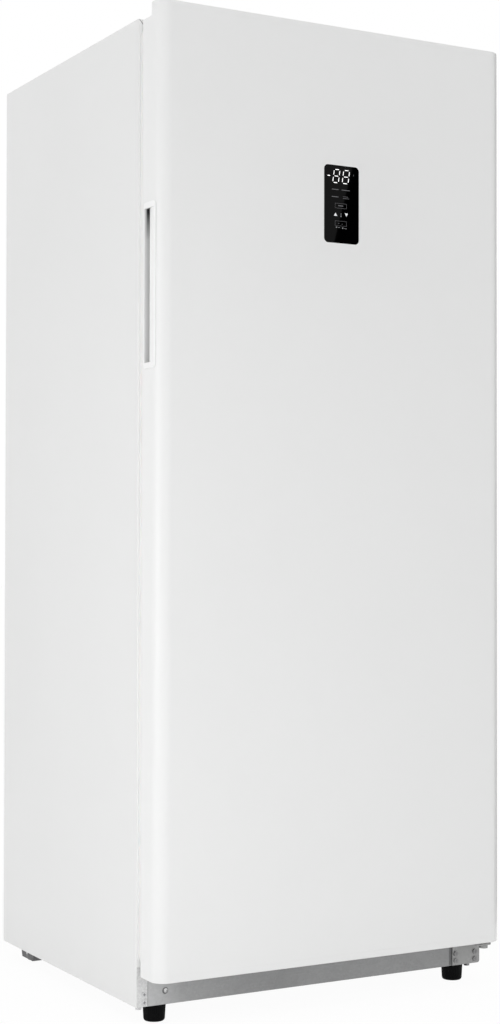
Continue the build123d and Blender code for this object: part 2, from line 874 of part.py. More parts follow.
with BuildPart() as door_handle:
    add(handle_rim_band.part)
    add(handle_cup.part)
    # Finger space: a slanted lead-in at the front, then an undercut behind its lip.
    with BuildSketch(at_z(cup_low + grip_wall)):
        surface = -(half_width + 2.0)
        deep = cup_inner_x - grip_wall
        polygon(
            (surface, front_y - grip_rear),
            (surface, front_y - grip_mouth),
            (-(door_half - grip_lead), front_y - grip_mouth),
            (-(door_half - grip_lead_end), front_y - grip_lip),
            (-(door_half - grip_lead_end - grip_wall), front_y - grip_lip),
            (-(door_half - grip_back), cup_front + grip_wall),
            (deep, cup_front + grip_wall),
            (deep, front_y - grip_rear - grip_corner),
            (deep - grip_corner, front_y - grip_rear),
        )
    extrude(amount=cup_high - cup_low - 2 * grip_wall, mode=Mode.SUBTRACT)

with BuildPart() as display_glass:
    with BuildSketch(at_y(door_front + display_glass_thickness)):
        area((display_left, display_right), (display_z, display_z + display_height), corner=display_corner)
    extrude(amount=display_glass_thickness)

board_inset = 3.0
board_front = door_front + display_glass_thickness
with BuildPart() as display_board:
    board_x = (display_left + board_inset, display_right - board_inset)
    board_z = (display_z + board_inset, display_z + display_height - board_inset)
    block(board_x, (board_front, board_front + display_box_depth), board_z)
    block(
        (board_x[0] + 1.5, board_x[1] - 1.5),
        (board_front + 3.0, board_front + display_box_depth - 1.5),
        (board_z[0] + 1.5, board_z[1] - 1.5),
        mode=Mode.SUBTRACT,
    )


def dike_frame(inset, y_low, y_high, mode=Mode.ADD):
    """A ring with the dike's shape, its walls drawn in by inset."""
    with BuildSketch(at_y(y_high)) as ring:
        area(
            (-dike_half + inset, dike_half - inset),
            (dike_low + inset, dike_high - inset),
            corner=28.0 - inset,
        )
        inner = dike_width - inset
        area(
            (-dike_half + inner, dike_half - inner),
            (dike_low + inner, dike_high - inner),
            mode=Mode.SUBTRACT,
            corner=28.0 - inner,
        )
    extrude(ring.sketch, amount=y_high - y_low, mode=mode)


ledge_reach = 7.0
bin_half = dike_half - dike_width - 1.5
bin_rear = front_y + bin_reach
with BuildPart() as door_liner:
    plate_edge = door_half - sheet - 0.6
    block((-plate_edge, plate_edge), (plate_front, plate_rear), (skin_bottom, cap_seat))
    dike_frame(0.0, plate_front, dike_rear)
    dike_frame(liner_wall, plate_front - 1.0, dike_rear - liner_wall, mode=Mode.SUBTRACT)
    for z in bin_zs:
        for side in (-1, 1):
            wall = side * (dike_half - dike_width + liner_wall / 2)
            block(
                (wall, wall - side * (ledge_reach + 1.0)),
                (plate_rear - 0.5, dike_rear - 4.0),
                (z - 6.0, z),
            )

with BuildPart() as door_foam:
    foam_low = skin_bottom + plug_depth
    with BuildSketch(at_z(foam_low)):
        door_outline(-sheet, plate_front)
    extrude(amount=cap_seat - foam_low)
    dike_frame(liner_wall, plate_front - 1.0, dike_rear - liner_wall)
    block((-half_width, cup_inner_x), (cup_front, cup_rear), (cup_low, cup_high), mode=Mode.SUBTRACT)
    block(
        (display_left - 1.0, display_right + 1.0),
        (door_front, board_front + display_box_depth),
        (display_z - 1.0, display_z + display_height + 1.0),
        mode=Mode.SUBTRACT,
    )
    cut_round(pin_x, pin_y, bush_radius + 3.7, pocket_floor - bush_length - 2.2, pocket_floor)

seal_left = -(door_half - seal_inset)
seal_right = door_half - seal_hinge_inset
seal_low = deck_z + seal_rise
seal_high = cap_seat - 1.0
with BuildPart() as door_gasket:
    # Foot in the liner, a narrower bellows and the magnet strip at the front.
    for inset, y_low, y_high in (
        (0.0, plate_rear, plate_rear + 4.0),
        (4.0, plate_rear + 4.0, plate_rear + 9.0),
        (1.0, plate_rear + 9.0, front_y - running_gap),
    ):
        with BuildSketch(at_y(y_high)):
            seal_z = (seal_low + inset, seal_high - inset)
            area((seal_left + inset, seal_right - inset), seal_z, corner=9.0 - inset)
            far = seal_width - inset
            area(
                (seal_left + far, seal_right - far),
                (seal_low + far, seal_high - far),
                mode=Mode.SUBTRACT,
                corner=2.0,
            )
        extrude(amount=y_high - y_low)
    # Seat over the skin's hem.
    hem_edge = -(door_half - hem)
    block((-door_half, hem_edge), (plate_rear, door_rear), (door_bottom, door_top), mode=Mode.SUBTRACT)


def make_bin(z):
    with BuildPart() as tray:
        for inset, floor, mode in ((0.0, z, Mode.ADD), (bin_wall, z + bin_wall, Mode.SUBTRACT)):
            half = bin_half - inset
            with BuildSketch(at_z(floor)):
                with BuildLine():
                    radius = bin_corner - inset
                    Line((-half, plate_rear + inset), (-half, bin_rear - inset - radius))
                    RadiusArc((-half, bin_rear - inset - radius), (-half + radius, bin_rear - inset), radius)
                    Line((-half + radius, bin_rear - inset), (half - radius, bin_rear - inset))
                    RadiusArc((half - radius, bin_rear - inset), (half, bin_rear - inset - radius), radius)
                    Line((half, bin_rear - inset - radius), (half, plate_rear + inset))
                    Line((half, plate_rear + inset), (-half, plate_rear + inset))
                make_face()
            extrude(amount=bin_height, mode=mode)
    return tray


door_bins = [make_bin(z) for z in bin_zs]

# ---------------------------------------------------------------- inside
with BuildPart() as duct_cover:
    duct_half = room_half - 1.0
    duct_low = hump_top + 0.5
    duct_high = room_top - room_corner
    block((-duct_half, duct_half), (duct_front, duct_front + duct_sheet), (duct_low, duct_high))
    for side in (-1, 1):
        block(
            (side * duct_half, side * (duct_half - duct_sheet)),
            (duct_front + duct_sheet / 2, room_rear),
            (duct_low, duct_high),
        )
    # Raised air channel up the middle.
    channel_half = 95.0
    block((-channel_half, channel_half), (duct_front - 5.0, duct_front), (duct_low, duct_high))
    block(
        (-channel_half + duct_sheet, channel_half - duct_sheet),
        (duct_front - 5.0 + duct_sheet, duct_front + duct_sheet),
        (duct_low + 120.0, duct_high - duct_sheet),
        mode=Mode.SUBTRACT,
    )
    # Outlet slots over each shelf, and return slots at the bottom.
    with BuildSketch(at_y(duct_front + duct_sheet + 1.0)):
        for z in shelf_zs:
            with Locations(*[(x, z + lift) for x in (-50.0, 50.0) for lift in (150.0, 162.0, 174.0)]):
                SlotOverall(64.0, 5.0)
        with Locations(*[(x, duct_low + 20.0) for x in range(-240, 241, 40)]):
            SlotOverall(30.0, 6.0, rotation=90)
    extrude(amount=duct_sheet + 8.0, mode=Mode.SUBTRACT)

evap_half = room_half - evap_inset
evap_low = hump_top + evap_rise
evap_high = evap_low + evap_height
evap_front = duct_front + 12.0
evap_rear = room_rear - 10.0


def pipe(points, bend, radius):
    with BuildLine() as route:
        path = FilletPolyline(*points, radius=bend)
    with BuildSketch(Plane(origin=path @ 0, z_dir=path % 0)) as section:
        Circle(radius)
    sweep(section.sketch, path=route.wire())


def serpentine(x_low, x_high, y, z_low, pitch, passes, radius):
    """One flat run of tube, back and forth between two sides."""
    points = []
    for step in range(passes):
        z = z_low + step * pitch
        ends = (x_low, x_high) if step % 2 == 0 else (x_high, x_low)
        points += [(ends[0], y, z), (ends[1], y, z)]
    pipe(points, pitch / 2 - 0.5, radius)


with BuildPart() as evaporator:
    for y in (evap_front + 14.0, evap_rear - 14.0):
        turn_x = evap_half + 14.0
        serpentine(-turn_x, turn_x, y, evap_low + 20.0, evap_pitch, evap_passes, evap_tube_radius)
    for index in range(evap_fins):
        x = evap_half * (2 * index / (evap_fins - 1) - 1)
        block((x - fin_sheet / 2, x + fin_sheet / 2), (evap_front, evap_rear), (evap_low, evap_high))
    # End plates that stand on the rear wall of the liner.
    for side in (-1, 1):
        block(
            (side * (evap_half + 5.0), side * (evap_half + 6.5)),
            (evap_front, room_rear),
            (evap_low, evap_high),
        )


def fan_wheel(x_dir, centre, axis, radius, hub_radius, hub_length):
    """Hub with tilted blades, bored for its shaft."""
    base = Plane(origin=centre, x_dir=x_dir, z_dir=axis)
    middle = Vector(*centre) + Vector(*axis) * (hub_length / 2)
    root = hub_radius - 2.0
    with BuildPart() as wheel:
        with BuildSketch(base):
            Circle(hub_radius)
        extrude(amount=hub_length)
        for index in range(fan_blades):
            along = Vector(*x_dir).rotate(Axis((0, 0, 0), axis), 360.0 * index / fan_blades)
            facing = Vector(*axis).rotate(Axis((0, 0, 0), along), blade_tilt)
            with BuildSketch(Plane(origin=middle, x_dir=along, z_dir=facing)):
                with Locations(((root + radius) / 2, 0)):
                    RectangleRounded(radius - root, blade_share * radius, blade_corner)
            extrude(amount=blade_sheet / 2, both=True)
        with BuildSketch(base.offset(-radius)):
            Circle(shaft_radius + bore_play)
        extrude(amount=2 * radius, mode=Mode.SUBTRACT)
    return wheel


fan_z = evap_high + evap_fan_rise
fan_front = duct_front + 14.0
evaporator_fan = fan_wheel(
    (1, 0, 0), (0, fan_front, fan_z), (0, 1, 0), evap_fan_radius, evap_hub_radius, evap_hub_length
)
with BuildPart() as evaporator_fan_motor:
    motor_front = fan_front + evap_hub_length + 6.0
    with BuildSketch(at_y(room_rear)):
        with Locations((0, fan_z)):
            Circle(evap_motor_radius)
    extrude(amount=room_rear - motor_front)
    arm, arm_half = evap_arm_reach, evap_arm_width / 2
    strap_y = (room_rear - evap_arm_sheet, room_rear)
    block((-arm, arm), strap_y, (fan_z - arm_half, fan_z + arm_half))
    block((-arm_half, arm_half), strap_y, (fan_z - arm, fan_z + arm))
    with BuildSketch(at_y(motor_front)):
        with Locations((0, fan_z)):
            Circle(shaft_radius)
    extrude(amount=motor_front - fan_front)

with BuildPart() as lamp_cover:
    lamp_z = (room_top - lamp_drop, room_top)
    block((-lamp_half, lamp_half), (lamp_front, lamp_front + lamp_depth), lamp_z)
    low_edges = lamp_cover.faces().sort_by(Axis.Z)[0].edges()
    fillet(low_edges, 5.0)
    block(
        (-lamp_half + lamp_wall, lamp_half - lamp_wall),
        (lamp_front + lamp_wall, lamp_front + lamp_depth - lamp_wall),
        (room_top - lamp_drop + lamp_wall, room_top),
        mode=Mode.SUBTRACT,
    )

with BuildPart() as switch_housing:
    with BuildSketch(at_y(front_y + switch_depth)):
        with Locations((switch_x, switch_z)):
            Circle(switch_radius - 0.1)
    extrude(amount=switch_depth - sheet)
    with BuildSketch(at_y(front_y + sheet)):
        with Locations((switch_x, switch_z)):
            Circle(switch_radius + 0.8)
    extrude(amount=1.5)
    bore_end = plunger_end + plunger_travel
    with BuildSketch(at_y(front_y + bore_end)):
        with Locations((switch_x, switch_z)):
            Circle(plunger_radius + bore_play)
    extrude(amount=bore_end + 4.0, mode=Mode.SUBTRACT)
with BuildPart() as switch_plunger:
    with BuildSketch(at_y(front_y + plunger_end)):
        with Locations((switch_x, switch_z)):
            Circle(plunger_radius)
    extrude(amount=plunger_end + seal_gap + sheet - running_gap)
    fillet(switch_plunger.edges().group_by(Axis.Y)[0], 1.5)


def make_shelf(z):
    with BuildPart() as glass:
        with BuildSketch(at_z(z)):
            area((-shelf_half, shelf_half), (shelf_front + 2.0, shelf_rear - 2.0), corner=4.0)
        extrude(amount=shelf_thickness)
    return glass


shelves = [make_shelf(z) for z in shelf_zs]

with BuildPart() as shelf_trims:
    for z in shelf_zs:
        for y_low, y_high in ((shelf_front, shelf_front + 14.0), (shelf_rear - 14.0, shelf_rear)):
            with BuildSketch(at_x(-shelf_half)):
                area((y_low, y_high), (z - 4.0, z + shelf_thickness + 3.0), corner=2.5)
            extrude(amount=2 * shelf_half)
    for glass in shelves:
        add(glass.part, mode=Mode.SUBTRACT)

drawer_half = room_half - drawer_gap
lower_drawer_rear = hump_front - 5.0
upper_drawer_rear = shelf_rear - 4.0
drawer_height = 190.0
pull_height = 26.0


def make_drawer(z, rear, height):
    """Open box with side rails that slide on the liner's ledges, and a finger slot."""
    low = z + 2.0
    with BuildPart() as drawer:
        with BuildSketch(at_z(low)):
            area((-drawer_half, drawer_half), (drawer_front, rear), corner=12.0)
        extrude(amount=height)
        with BuildSketch(at_z(low + drawer_wall)):
            area(
                (-drawer_half + drawer_wall, drawer_half - drawer_wall),
                (drawer_front + drawer_wall, rear - drawer_wall),
                corner=12.0 - drawer_wall,
            )
        extrude(amount=height, mode=Mode.SUBTRACT)
        for side in (-1, 1):
            block(
                (side * (drawer_half - drawer_wall / 2), side * (room_half - 1.0)),
                (drawer_front + 16.0, rear - 16.0),
                (z + rib_height + running_gap, z + rib_height + running_gap + 3.0),
            )
        with BuildSketch(at_y(drawer_front + 2 * drawer_wall)):
            with Locations((0, low + height - 34.0)):
                SlotOverall(150.0, pull_height)
        extrude(amount=3 * drawer_wall, mode=Mode.SUBTRACT)
    return drawer


drawer_lower = make_drawer(room_floor, lower_drawer_rear, drawer_height)
drawer_upper = make_drawer(hump_top, upper_drawer_rear, drawer_height)

# ---------------------------------------------------------------- machine room
compressor_x = compressor_inset - half_width
compressor_y = rear_y - compressor_setback
mount_z = plate_z + 2.0 + grommet_height
grommet_points = [
    (compressor_x + i * grommet_half[0], compressor_y + j * grommet_half[1]) for i in (-1, 1) for j in (-1, 1)
]
with BuildPart() as compressor_grommets:
    with BuildSketch(at_z(plate_z + 2.0)):
        with Locations(*grommet_points):
            Circle(grommet_radius)
            Circle(bolt_radius, mode=Mode.SUBTRACT)
    extrude(amount=grommet_height)

with BuildPart() as compressor:
    with BuildSketch(at_z(mount_z)):
        area(
            (compressor_x - mount_half[0], compressor_x + mount_half[0]),
            (compressor_y - mount_half[1], compressor_y + mount_half[1]),
            corner=14.0,
        )
        with Locations(*grommet_points):
            Circle(bolt_radius, mode=Mode.SUBTRACT)
    extrude(amount=mount_sheet)
    with BuildSketch(at_z(mount_z + mount_sheet)):
        with Locations((compressor_x, compressor_y)):
            Ellipse(shell_half[0], shell_half[1])
    extrude(amount=shell_height)
    crown = compressor.faces().sort_by(Axis.Z)[-1].edges()
    fillet(crown, shell_crown)
    # Welded seam round the shell.
    with BuildSketch(at_z(mount_z + shell_height * 0.53)):
        with Locations((compressor_x, compressor_y)):
            Ellipse(shell_half[0] + seam_reach, shell_half[1] + seam_reach)
    extrude(amount=2 * seam_reach)
    # Terminal box on the side.
    block(
        (compressor_x + 60.0, compressor_x + 96.0),
        (compressor_y - 28.0, compressor_y + 28.0),
        (mount_z + 30.0, mount_z + 92.0),
    )

pan_z = mount_z + mount_sheet + shell_height
with BuildPart() as evaporation_pan:
    for inset, mode in ((0.0, Mode.ADD), (pan_wall, Mode.SUBTRACT)):
        half_x, half_y = pan_half[0] - inset, pan_half[1] - inset
        with BuildSketch(at_z(pan_z + inset)):
            with Locations((compressor_x, compressor_y)):
                RectangleRounded(2 * half_x, 2 * half_y, pan_corner - inset)
        extrude(amount=pan_height, mode=mode)

coil_low = plate_z + 2.0
coil_x = (half_width - coil_inset - coil_width, half_width - coil_inset)
coil_y = (rear_y - coil_reach, rear_y - coil_setback)
coil_ends = (coil_x[0] - 12.0, coil_x[1] + 12.0)
with BuildPart() as condenser_coil:
    for row in range(coil_rows):
        y = coil_y[1] - (row + 0.5) * coil_row_pitch
        low = coil_low + coil_tube_rise
        serpentine(coil_ends[0], coil_ends[1], y, low, coil_pitch, coil_passes, coil_tube_radius)
    for index in range(coil_fins):
        x = coil_x[0] + index * (coil_x[1] - coil_x[0]) / (coil_fins - 1)
        block((x - fin_sheet / 2, x + fin_sheet / 2), coil_y, (coil_low + 8.0, coil_low + coil_height))
    for x in coil_x:
        block((x - 4.0, x - 2.5), coil_y, (coil_low, coil_low + coil_height))

blower_x = coil_x[0] - blower_gap
blower_y = rear_y - (coil_setback + coil_reach) / 2
blower_z = coil_low + blower_rise
condenser_fan = fan_wheel(
    (0, 1, 0), (blower_x, blower_y, blower_z), (1, 0, 0), blower_radius, blower_hub_radius, blower_hub_length
)
with BuildPart() as condenser_fan_motor:
    motor_end = blower_x - 6.0
    with BuildSketch(at_x(motor_end)):
        with Locations((blower_y, blower_z)):
            Circle(blower_motor_radius)
    extrude(amount=-blower_motor_length)
    post_half = blower_post_width / 2
    post_x = motor_end - blower_motor_length / 2
    foot_x_span = (motor_end - blower_motor_length, motor_end - 4.0)
    block((post_x - post_half, post_x + post_half), (blower_y - 12.0, blower_y + 12.0), (coil_low, blower_z))
    block(foot_x_span, (blower_y - 30.0, blower_y + 30.0), (coil_low, coil_low + 3.0))
    with BuildSketch(at_x(motor_end)):
        with Locations((blower_y, blower_z)):
            Circle(shaft_radius)
    extrude(amount=blower_x + blower_hub_length - motor_end)


with BuildPart() as refrigerant_tubes:
    shell_top = mount_z + 100.0
    shell_side = compressor_y - shell_half[1]
    # Suction line up into the insulation.
    suction_z = machine_top - deck_sheet - 14.0
    suction_y = shell_side - 24.0
    pipe(
        [
            (compressor_x - 20.0, shell_side + 6.0, shell_top),
            (compressor_x - 20.0, suction_y, shell_top),
            (compressor_x - 20.0, suction_y, suction_z),
            (compressor_x + 60.0, suction_y, suction_z),
            (compressor_x + 60.0, shell_side + 20.0, suction_z),
            (compressor_x + 60.0, shell_side + 20.0, machine_top - deck_sheet),
        ],
        tube_bend,
        suction_radius,
    )
    # Discharge line along the plate, round the fan and into the condenser.
    inlet = (coil_ends[0], coil_y[1] - coil_row_pitch / 2, coil_low + coil_tube_rise)
    pipe(
        [
            (compressor_x + 20.0, shell_side + 6.0, shell_top),
            (compressor_x + 20.0, shell_side - 20.0, shell_top),
            (compressor_x + 20.0, shell_side - 20.0, inlet[2]),
            (inlet[0] - 14.0, shell_side - 20.0, inlet[2]),
            (inlet[0] - 14.0, inlet[1], inlet[2]),
            inlet,
        ],
        tube_bend,
        discharge_radius,
    )
    add(compressor.part, mode=Mode.SUBTRACT)
    # Filter drier, hung beside the condenser.
    with BuildSketch(at_z(coil_low)):
        with Locations((coil_x[0] - 24.0, rear_y - 30.0)):
            Circle(drier_radius)
    extrude(amount=drier_length)

cover_low = base_z + 8.0
cover_high = machine_top + 12.0
cover_half = half_width - 3.0
field_half = half_width - field_inset
inlet_x = inlet_inset - half_width
with BuildPart() as rear_cover:
    block((-cover_half, cover_half), (rear_y, rear_y + 1.0), (cover_low, cover_high))
    field_z = (cover_low + 30.0, cover_high - 36.0)
    with BuildSketch(at_y(rear_y + 1.0 + louvre_reach)):
        area((-field_half, field_half), field_z, corner=14.0)
    extrude(amount=louvre_reach)
    back_edges = rear_cover.faces().sort_by(Axis.Y)[-1].edges()
    chamfer(back_edges, 4.0)
    with BuildSketch(at_y(rear_y + louvre_reach)):
        area((-field_half + 6.0, field_half - 6.0), (field_z[0] + 6.0, field_z[1] - 6.0), corner=8.0)
    extrude(amount=louvre_reach + 1.0, mode=Mode.SUBTRACT)
    with BuildSketch(at_y(rear_y + 2.0 + louvre_reach)):
        row_pitch = (field_z[1] - field_z[0] - 44.0) / (louvre_rows - 1)
        with Locations((0, (field_z[0] + field_z[1]) / 2)):
            with GridLocations(louvre_pitch, row_pitch, louvre_columns, louvre_rows):
                SlotOverall(louvre_length, louvre_width)
    extrude(amount=4.0, mode=Mode.SUBTRACT)
    with BuildSketch(at_y(rear_y + 2.0)):
        with Locations(*[(side * rear_screw_x, z) for side in (-1, 1) for z in rear_screw_zs]):
            Circle(screw_hole)
    extrude(amount=3.0, mode=Mode.SUBTRACT)
    inlet_z = cover_low + 46.0
    with BuildSketch(at_y(rear_y + 2.0)):
        with Locations((inlet_x, inlet_z)):
            Circle(10.0)
    extrude(amount=3.0, mode=Mode.SUBTRACT)

with BuildPart() as mains_inlet:
    with BuildSketch(at_y(rear_y + rear_reach)):
        with Locations((inlet_x, inlet_z)):
            Circle(13.0)
    extrude(amount=rear_reach - 1.0)
    fillet(mains_inlet.edges().group_by(Axis.Y)[-1], 2.0)
    with BuildSketch(at_y(rear_y + 1.0)):
        with Locations((inlet_x, inlet_z)):
            Circle(9.8)
    extrude(amount=10.0)
    with BuildSketch(at_y(rear_y + rear_reach)):
        with Locations((inlet_x, inlet_z)):
            Circle(4.2)
    extrude(amount=rear_reach - 1.5, mode=Mode.SUBTRACT)

# ---------------------------------------------------------------- feet and rollers


def make_foot(side):
    with BuildPart() as foot:
        with BuildSketch(Plane.XZ.offset(-foot_y)):
            top = foot_height - running_gap
            polygon(
                (side * foot_x, 0.0),
                (side * foot_x + foot_bottom_radius - foot_edge, 0.0),
                (side * foot_x + foot_bottom_radius, foot_edge),
                (side * foot_x + foot_top_radius, top),
                (side * foot_x, top),
            )
        revolve(axis=Axis((side * foot_x, foot_y, 0), (0, 0, 1)))
        cut_round(side * foot_x, foot_y, stud_radius + bore_play, foot_rise, foot_height)
    return foot


def make_stud(side):
    with BuildPart() as stud:
        with BuildSketch(at_z(foot_rise + running_gap)):
            with Locations((side * foot_x, foot_y)):
                Circle(stud_radius)
        extrude(amount=stud_length - running_gap)
        chamfer(stud.edges().group_by(Axis.Z)[-1], 1.0)
    return stud


roller_x = half_width - roller_inset
roller_y = rear_y - roller_setback
cheek = 2.0
cheek_gap = roller_width / 2 + 1.0
saddle_front = 34.0  # from the axle
saddle_rear = 36.0
cheek_foot = 26.0  # half length of a cheek's lower edge
cheek_rise = 2.5  # that edge over the floor


def make_roller(side):
    with BuildPart() as roller:
        with BuildSketch(at_x(side * roller_x - roller_width / 2)):
            with Locations((roller_y, roller_radius)):
                Circle(roller_radius)
                Circle(axle_radius + bore_play, mode=Mode.SUBTRACT)
        extrude(amount=roller_width)
    return roller


with BuildPart() as roller_brackets:
    for side in (-1, 1):
        span = cheek_gap + cheek
        block(
            (side * roller_x - span, side * roller_x + span),
            (roller_y - saddle_front, roller_y + saddle_rear),
            (ledge_z - 2.0, ledge_z),
            # A saddle welded under the side rail.
        )
        with BuildSketch(at_x(side * roller_x - span)):
            polygon(
                (roller_y - saddle_front, ledge_z),
                (roller_y - cheek_foot, cheek_rise),
                (roller_y - cheek_foot + cheek, cheek_rise),
                (roller_y - saddle_front + cheek, ledge_z),
            )
        extrude(amount=2 * span)
        for x in (side * roller_x - span, side * roller_x + cheek_gap):
            with BuildSketch(at_x(x)):
                polygon(
                    (roller_y - saddle_front, ledge_z),
                    (roller_y - cheek_foot, cheek_rise),
                    (roller_y + cheek_foot, cheek_rise),
                    (roller_y + saddle_rear, ledge_z),
                )
                with Locations((roller_y, roller_radius)):
                    Circle(axle_radius, mode=Mode.SUBTRACT)
            extrude(amount=cheek)

with BuildPart() as roller_axles:
    for side in (-1, 1):
        with BuildSketch(at_x(side * roller_x - cheek_gap - cheek - 1.0)):
            with Locations((roller_y, roller_radius)):
                Circle(axle_radius)
        extrude(amount=2 * (cheek_gap + cheek + 1.0))

# ---------------------------------------------------------------- screws


pan_radius = 4.6
pan_height = 2.4
shank_radius = 1.9
recess_floor = 0.6
recess_length = 5.0
recess_width = 1.5


def pan_screw(place, facing, sideways, length):
    """Pan head with a cross recess and its shank, on an outer face."""
    seat = Plane(origin=place, x_dir=sideways, z_dir=facing)
    with BuildSketch(seat) as head:
        Circle(pan_radius)
    extrude(head.sketch, amount=pan_height)
    with BuildSketch(seat) as shank:
        Circle(shank_radius)
    extrude(shank.sketch, amount=-length)
    with BuildSketch(seat.offset(recess_floor)) as cross:
        Rectangle(recess_length, recess_width)
        Rectangle(recess_width, recess_length)
    extrude(cross.sketch, amount=pan_height, mode=Mode.SUBTRACT)


with BuildPart() as case_screws:
    for x, z in flange_screws:
        pan_screw((x, front_y, base_z + z), (0, -1, 0), (1, 0, 0), 6.0)
    for x, z in bracket_screws:
        pan_screw((x, front_y - bracket_sheet, base_z + z), (0, -1, 0), (1, 0, 0), 8.0)
    for side in (-1, 1):
        for z in rear_screw_zs:
            pan_screw((side * rear_screw_x, rear_y + 1.0, z), (0, 1, 0), (1, 0, 0), 5.0)
    for x, y in hinge_screw_points:
        pan_screw((x, y, top_z + hinge_plate), (0, 0, 1), (1, 0, 0), hinge_plate)
    # Hexagon bolts with a washer face, up through the side rails' ledges.
    for side in (-1, 1):
        for shape, radius, z, reach in (
            (6, bolt_head_radius, ledge_z - bolt_head, bolt_head - washer),
            (0, washer_radius, ledge_z - washer, washer),
            (0, bolt_radius, ledge_z - washer, washer + side_rail_sheet + bolt_end),
        ):
            with BuildSketch(at_z(z)) as layer:
                with Locations((side * bolt_x, bolt_y)):
                    if shape:
                        RegularPolygon(radius, shape)
                    else:
                        Circle(radius)
            extrude(layer.sketch, amount=reach)

# ---------------------------------------------------------------- export
pieces = {
    "side_panel_left": side_panel_left,
    "side_panel_right": side_panel_right,
    "top_panel": top_panel,
    "back_panel": back_panel,
    "bottom_deck": bottom_deck,
    "cabinet_liner": cabinet_liner,
    "cabinet_foam": cabinet_foam,
    "base_rail_front": base_rail_front,
    "base_rails": base_rails,
    "compressor_plate": compressor_plate,
    "lower_hinge_bracket": lower_hinge_bracket,
    "upper_hinge_plate": upper_hinge_plate,
    "hinge_cover": hinge_cover,
    "hinge_pins": hinge_pins,
    "hinge_bushes": hinge_bushes,
    "door_skin": door_skin,
    "door_cap_top": door_cap_top,
    "door_cap_bottom": door_cap_bottom,
    "door_handle": door_handle,
    "display_glass": display_glass,
    "display_board": display_board,
    "door_liner": door_liner,
    "door_foam": door_foam,
    "door_gasket": door_gasket,
    "duct_cover": duct_cover,
    "evaporator": evaporator,
    "evaporator_fan": evaporator_fan,
    "evaporator_fan_motor": evaporator_fan_motor,
    "lamp_cover": lamp_cover,
    "switch_housing": switch_housing,
    "switch_plunger": switch_plunger,
    "shelf_trims": shelf_trims,
    "drawer_lower": drawer_lower,
    "drawer_upper": drawer_upper,
    "compressor_grommets": compressor_grommets,
    "compressor": compressor,
    "evaporation_pan": evaporation_pan,
    "condenser_coil": condenser_coil,
    "condenser_fan": condenser_fan,
    "condenser_fan_motor": condenser_fan_motor,
    "refrigerant_tubes": refrigerant_tubes,
    "rear_cover": rear_cover,
    "mains_inlet": mains_inlet,
    "foot_left": make_foot(-1),
    "foot_right": make_foot(1),
    "stud_left": make_stud(-1),
    "stud_right": make_stud(1),
    "roller_left": make_roller(-1),
    "roller_right": make_roller(1),
    "roller_brackets": roller_brackets,
    "roller_axles": roller_axles,
    "case_screws": case_screws,
}
for number, shelf in enumerate(shelves, 1):
    pieces[f"shelf_{number}"] = shelf
for number, tray in enumerate(door_bins, 1):
    pieces[f"door_bin_{number}"] = tray

for name, piece in pieces.items():
    piece.part.label = name
    export_step(piece.part, f"parts/{name}.step")
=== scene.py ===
# Upright freezer: materials, small pieces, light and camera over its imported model. Metres, front towards -Y.
import math

import bmesh
import bpy
from mathutils import Matrix, Vector


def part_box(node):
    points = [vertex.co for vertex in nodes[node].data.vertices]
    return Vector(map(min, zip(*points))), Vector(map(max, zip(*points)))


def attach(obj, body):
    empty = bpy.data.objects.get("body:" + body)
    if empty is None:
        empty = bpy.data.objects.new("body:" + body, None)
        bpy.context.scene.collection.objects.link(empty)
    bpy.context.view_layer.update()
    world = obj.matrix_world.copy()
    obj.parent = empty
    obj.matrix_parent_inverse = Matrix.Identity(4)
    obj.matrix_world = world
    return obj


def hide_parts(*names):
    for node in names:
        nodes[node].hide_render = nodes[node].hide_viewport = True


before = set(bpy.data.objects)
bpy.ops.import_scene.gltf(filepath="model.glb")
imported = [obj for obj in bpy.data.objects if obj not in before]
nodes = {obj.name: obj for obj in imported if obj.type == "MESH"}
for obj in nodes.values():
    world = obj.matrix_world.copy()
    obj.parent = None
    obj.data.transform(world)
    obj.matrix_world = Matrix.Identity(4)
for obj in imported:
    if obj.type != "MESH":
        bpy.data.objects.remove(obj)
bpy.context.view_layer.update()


# node helpers
def addNode(tree, kind, inputs=None, **settings):
    node = tree.nodes.new(kind)
    for key, value in settings.items():
        setattr(node, key, value)
    for key, value in (inputs or {}).items():
        if isinstance(value, bpy.types.NodeSocket):
            tree.links.new(value, node.inputs[key])
        else:
            node.inputs[key].default_value = value
    return node


def newGroup(name, kind, inputs, outputs):
    tree = bpy.data.node_groups.new(name, kind)
    for label, socketType, value in inputs:
        socket = tree.interface.new_socket(name=label, in_out="INPUT", socket_type=socketType)
        if value is not None:
            socket.default_value = value
    for label, socketType in outputs:
        tree.interface.new_socket(name=label, in_out="OUTPUT", socket_type=socketType)
    return tree, tree.nodes.new("NodeGroupInput").outputs, tree.nodes.new("NodeGroupOutput").inputs


def calc(tree, operation, a, b=0.0):
    return addNode(tree, "ShaderNodeMath", {0: a, 1: b}, operation=operation).outputs[0]


def spread(tree, value, low, high, start, end):
    # carries low..high over to start..end
    inputs = {"Value": value, "From Min": low, "From Max": high, "To Min": start, "To Max": end}
    return addNode(tree, "ShaderNodeMapRange", inputs).outputs["Result"]


def noise(tree, vector, scale, detail=2.0, distortion=0.0):
    inputs = {"Vector": vector, "Scale": scale, "Detail": detail, "Distortion": distortion}
    return addNode(tree, "ShaderNodeTexNoise", inputs).outputs["Fac"]


noiseLow, noiseHigh = 0.3, 0.7  # nearly all of a noise texture lies between these


def cloudy(tree, value, start, end):
    # carries a noise texture's usual values over to start..end
    return spread(tree, value, noiseLow, noiseHigh, start, end)


def whereOn(tree):
    return addNode(tree, "ShaderNodeTexCoord").outputs["Object"]


def parted(tree, vector):
    return addNode(tree, "ShaderNodeSeparateXYZ", {0: vector}).outputs


def facing(tree):
    return addNode(tree, "ShaderNodeNewGeometry").outputs["Normal"]


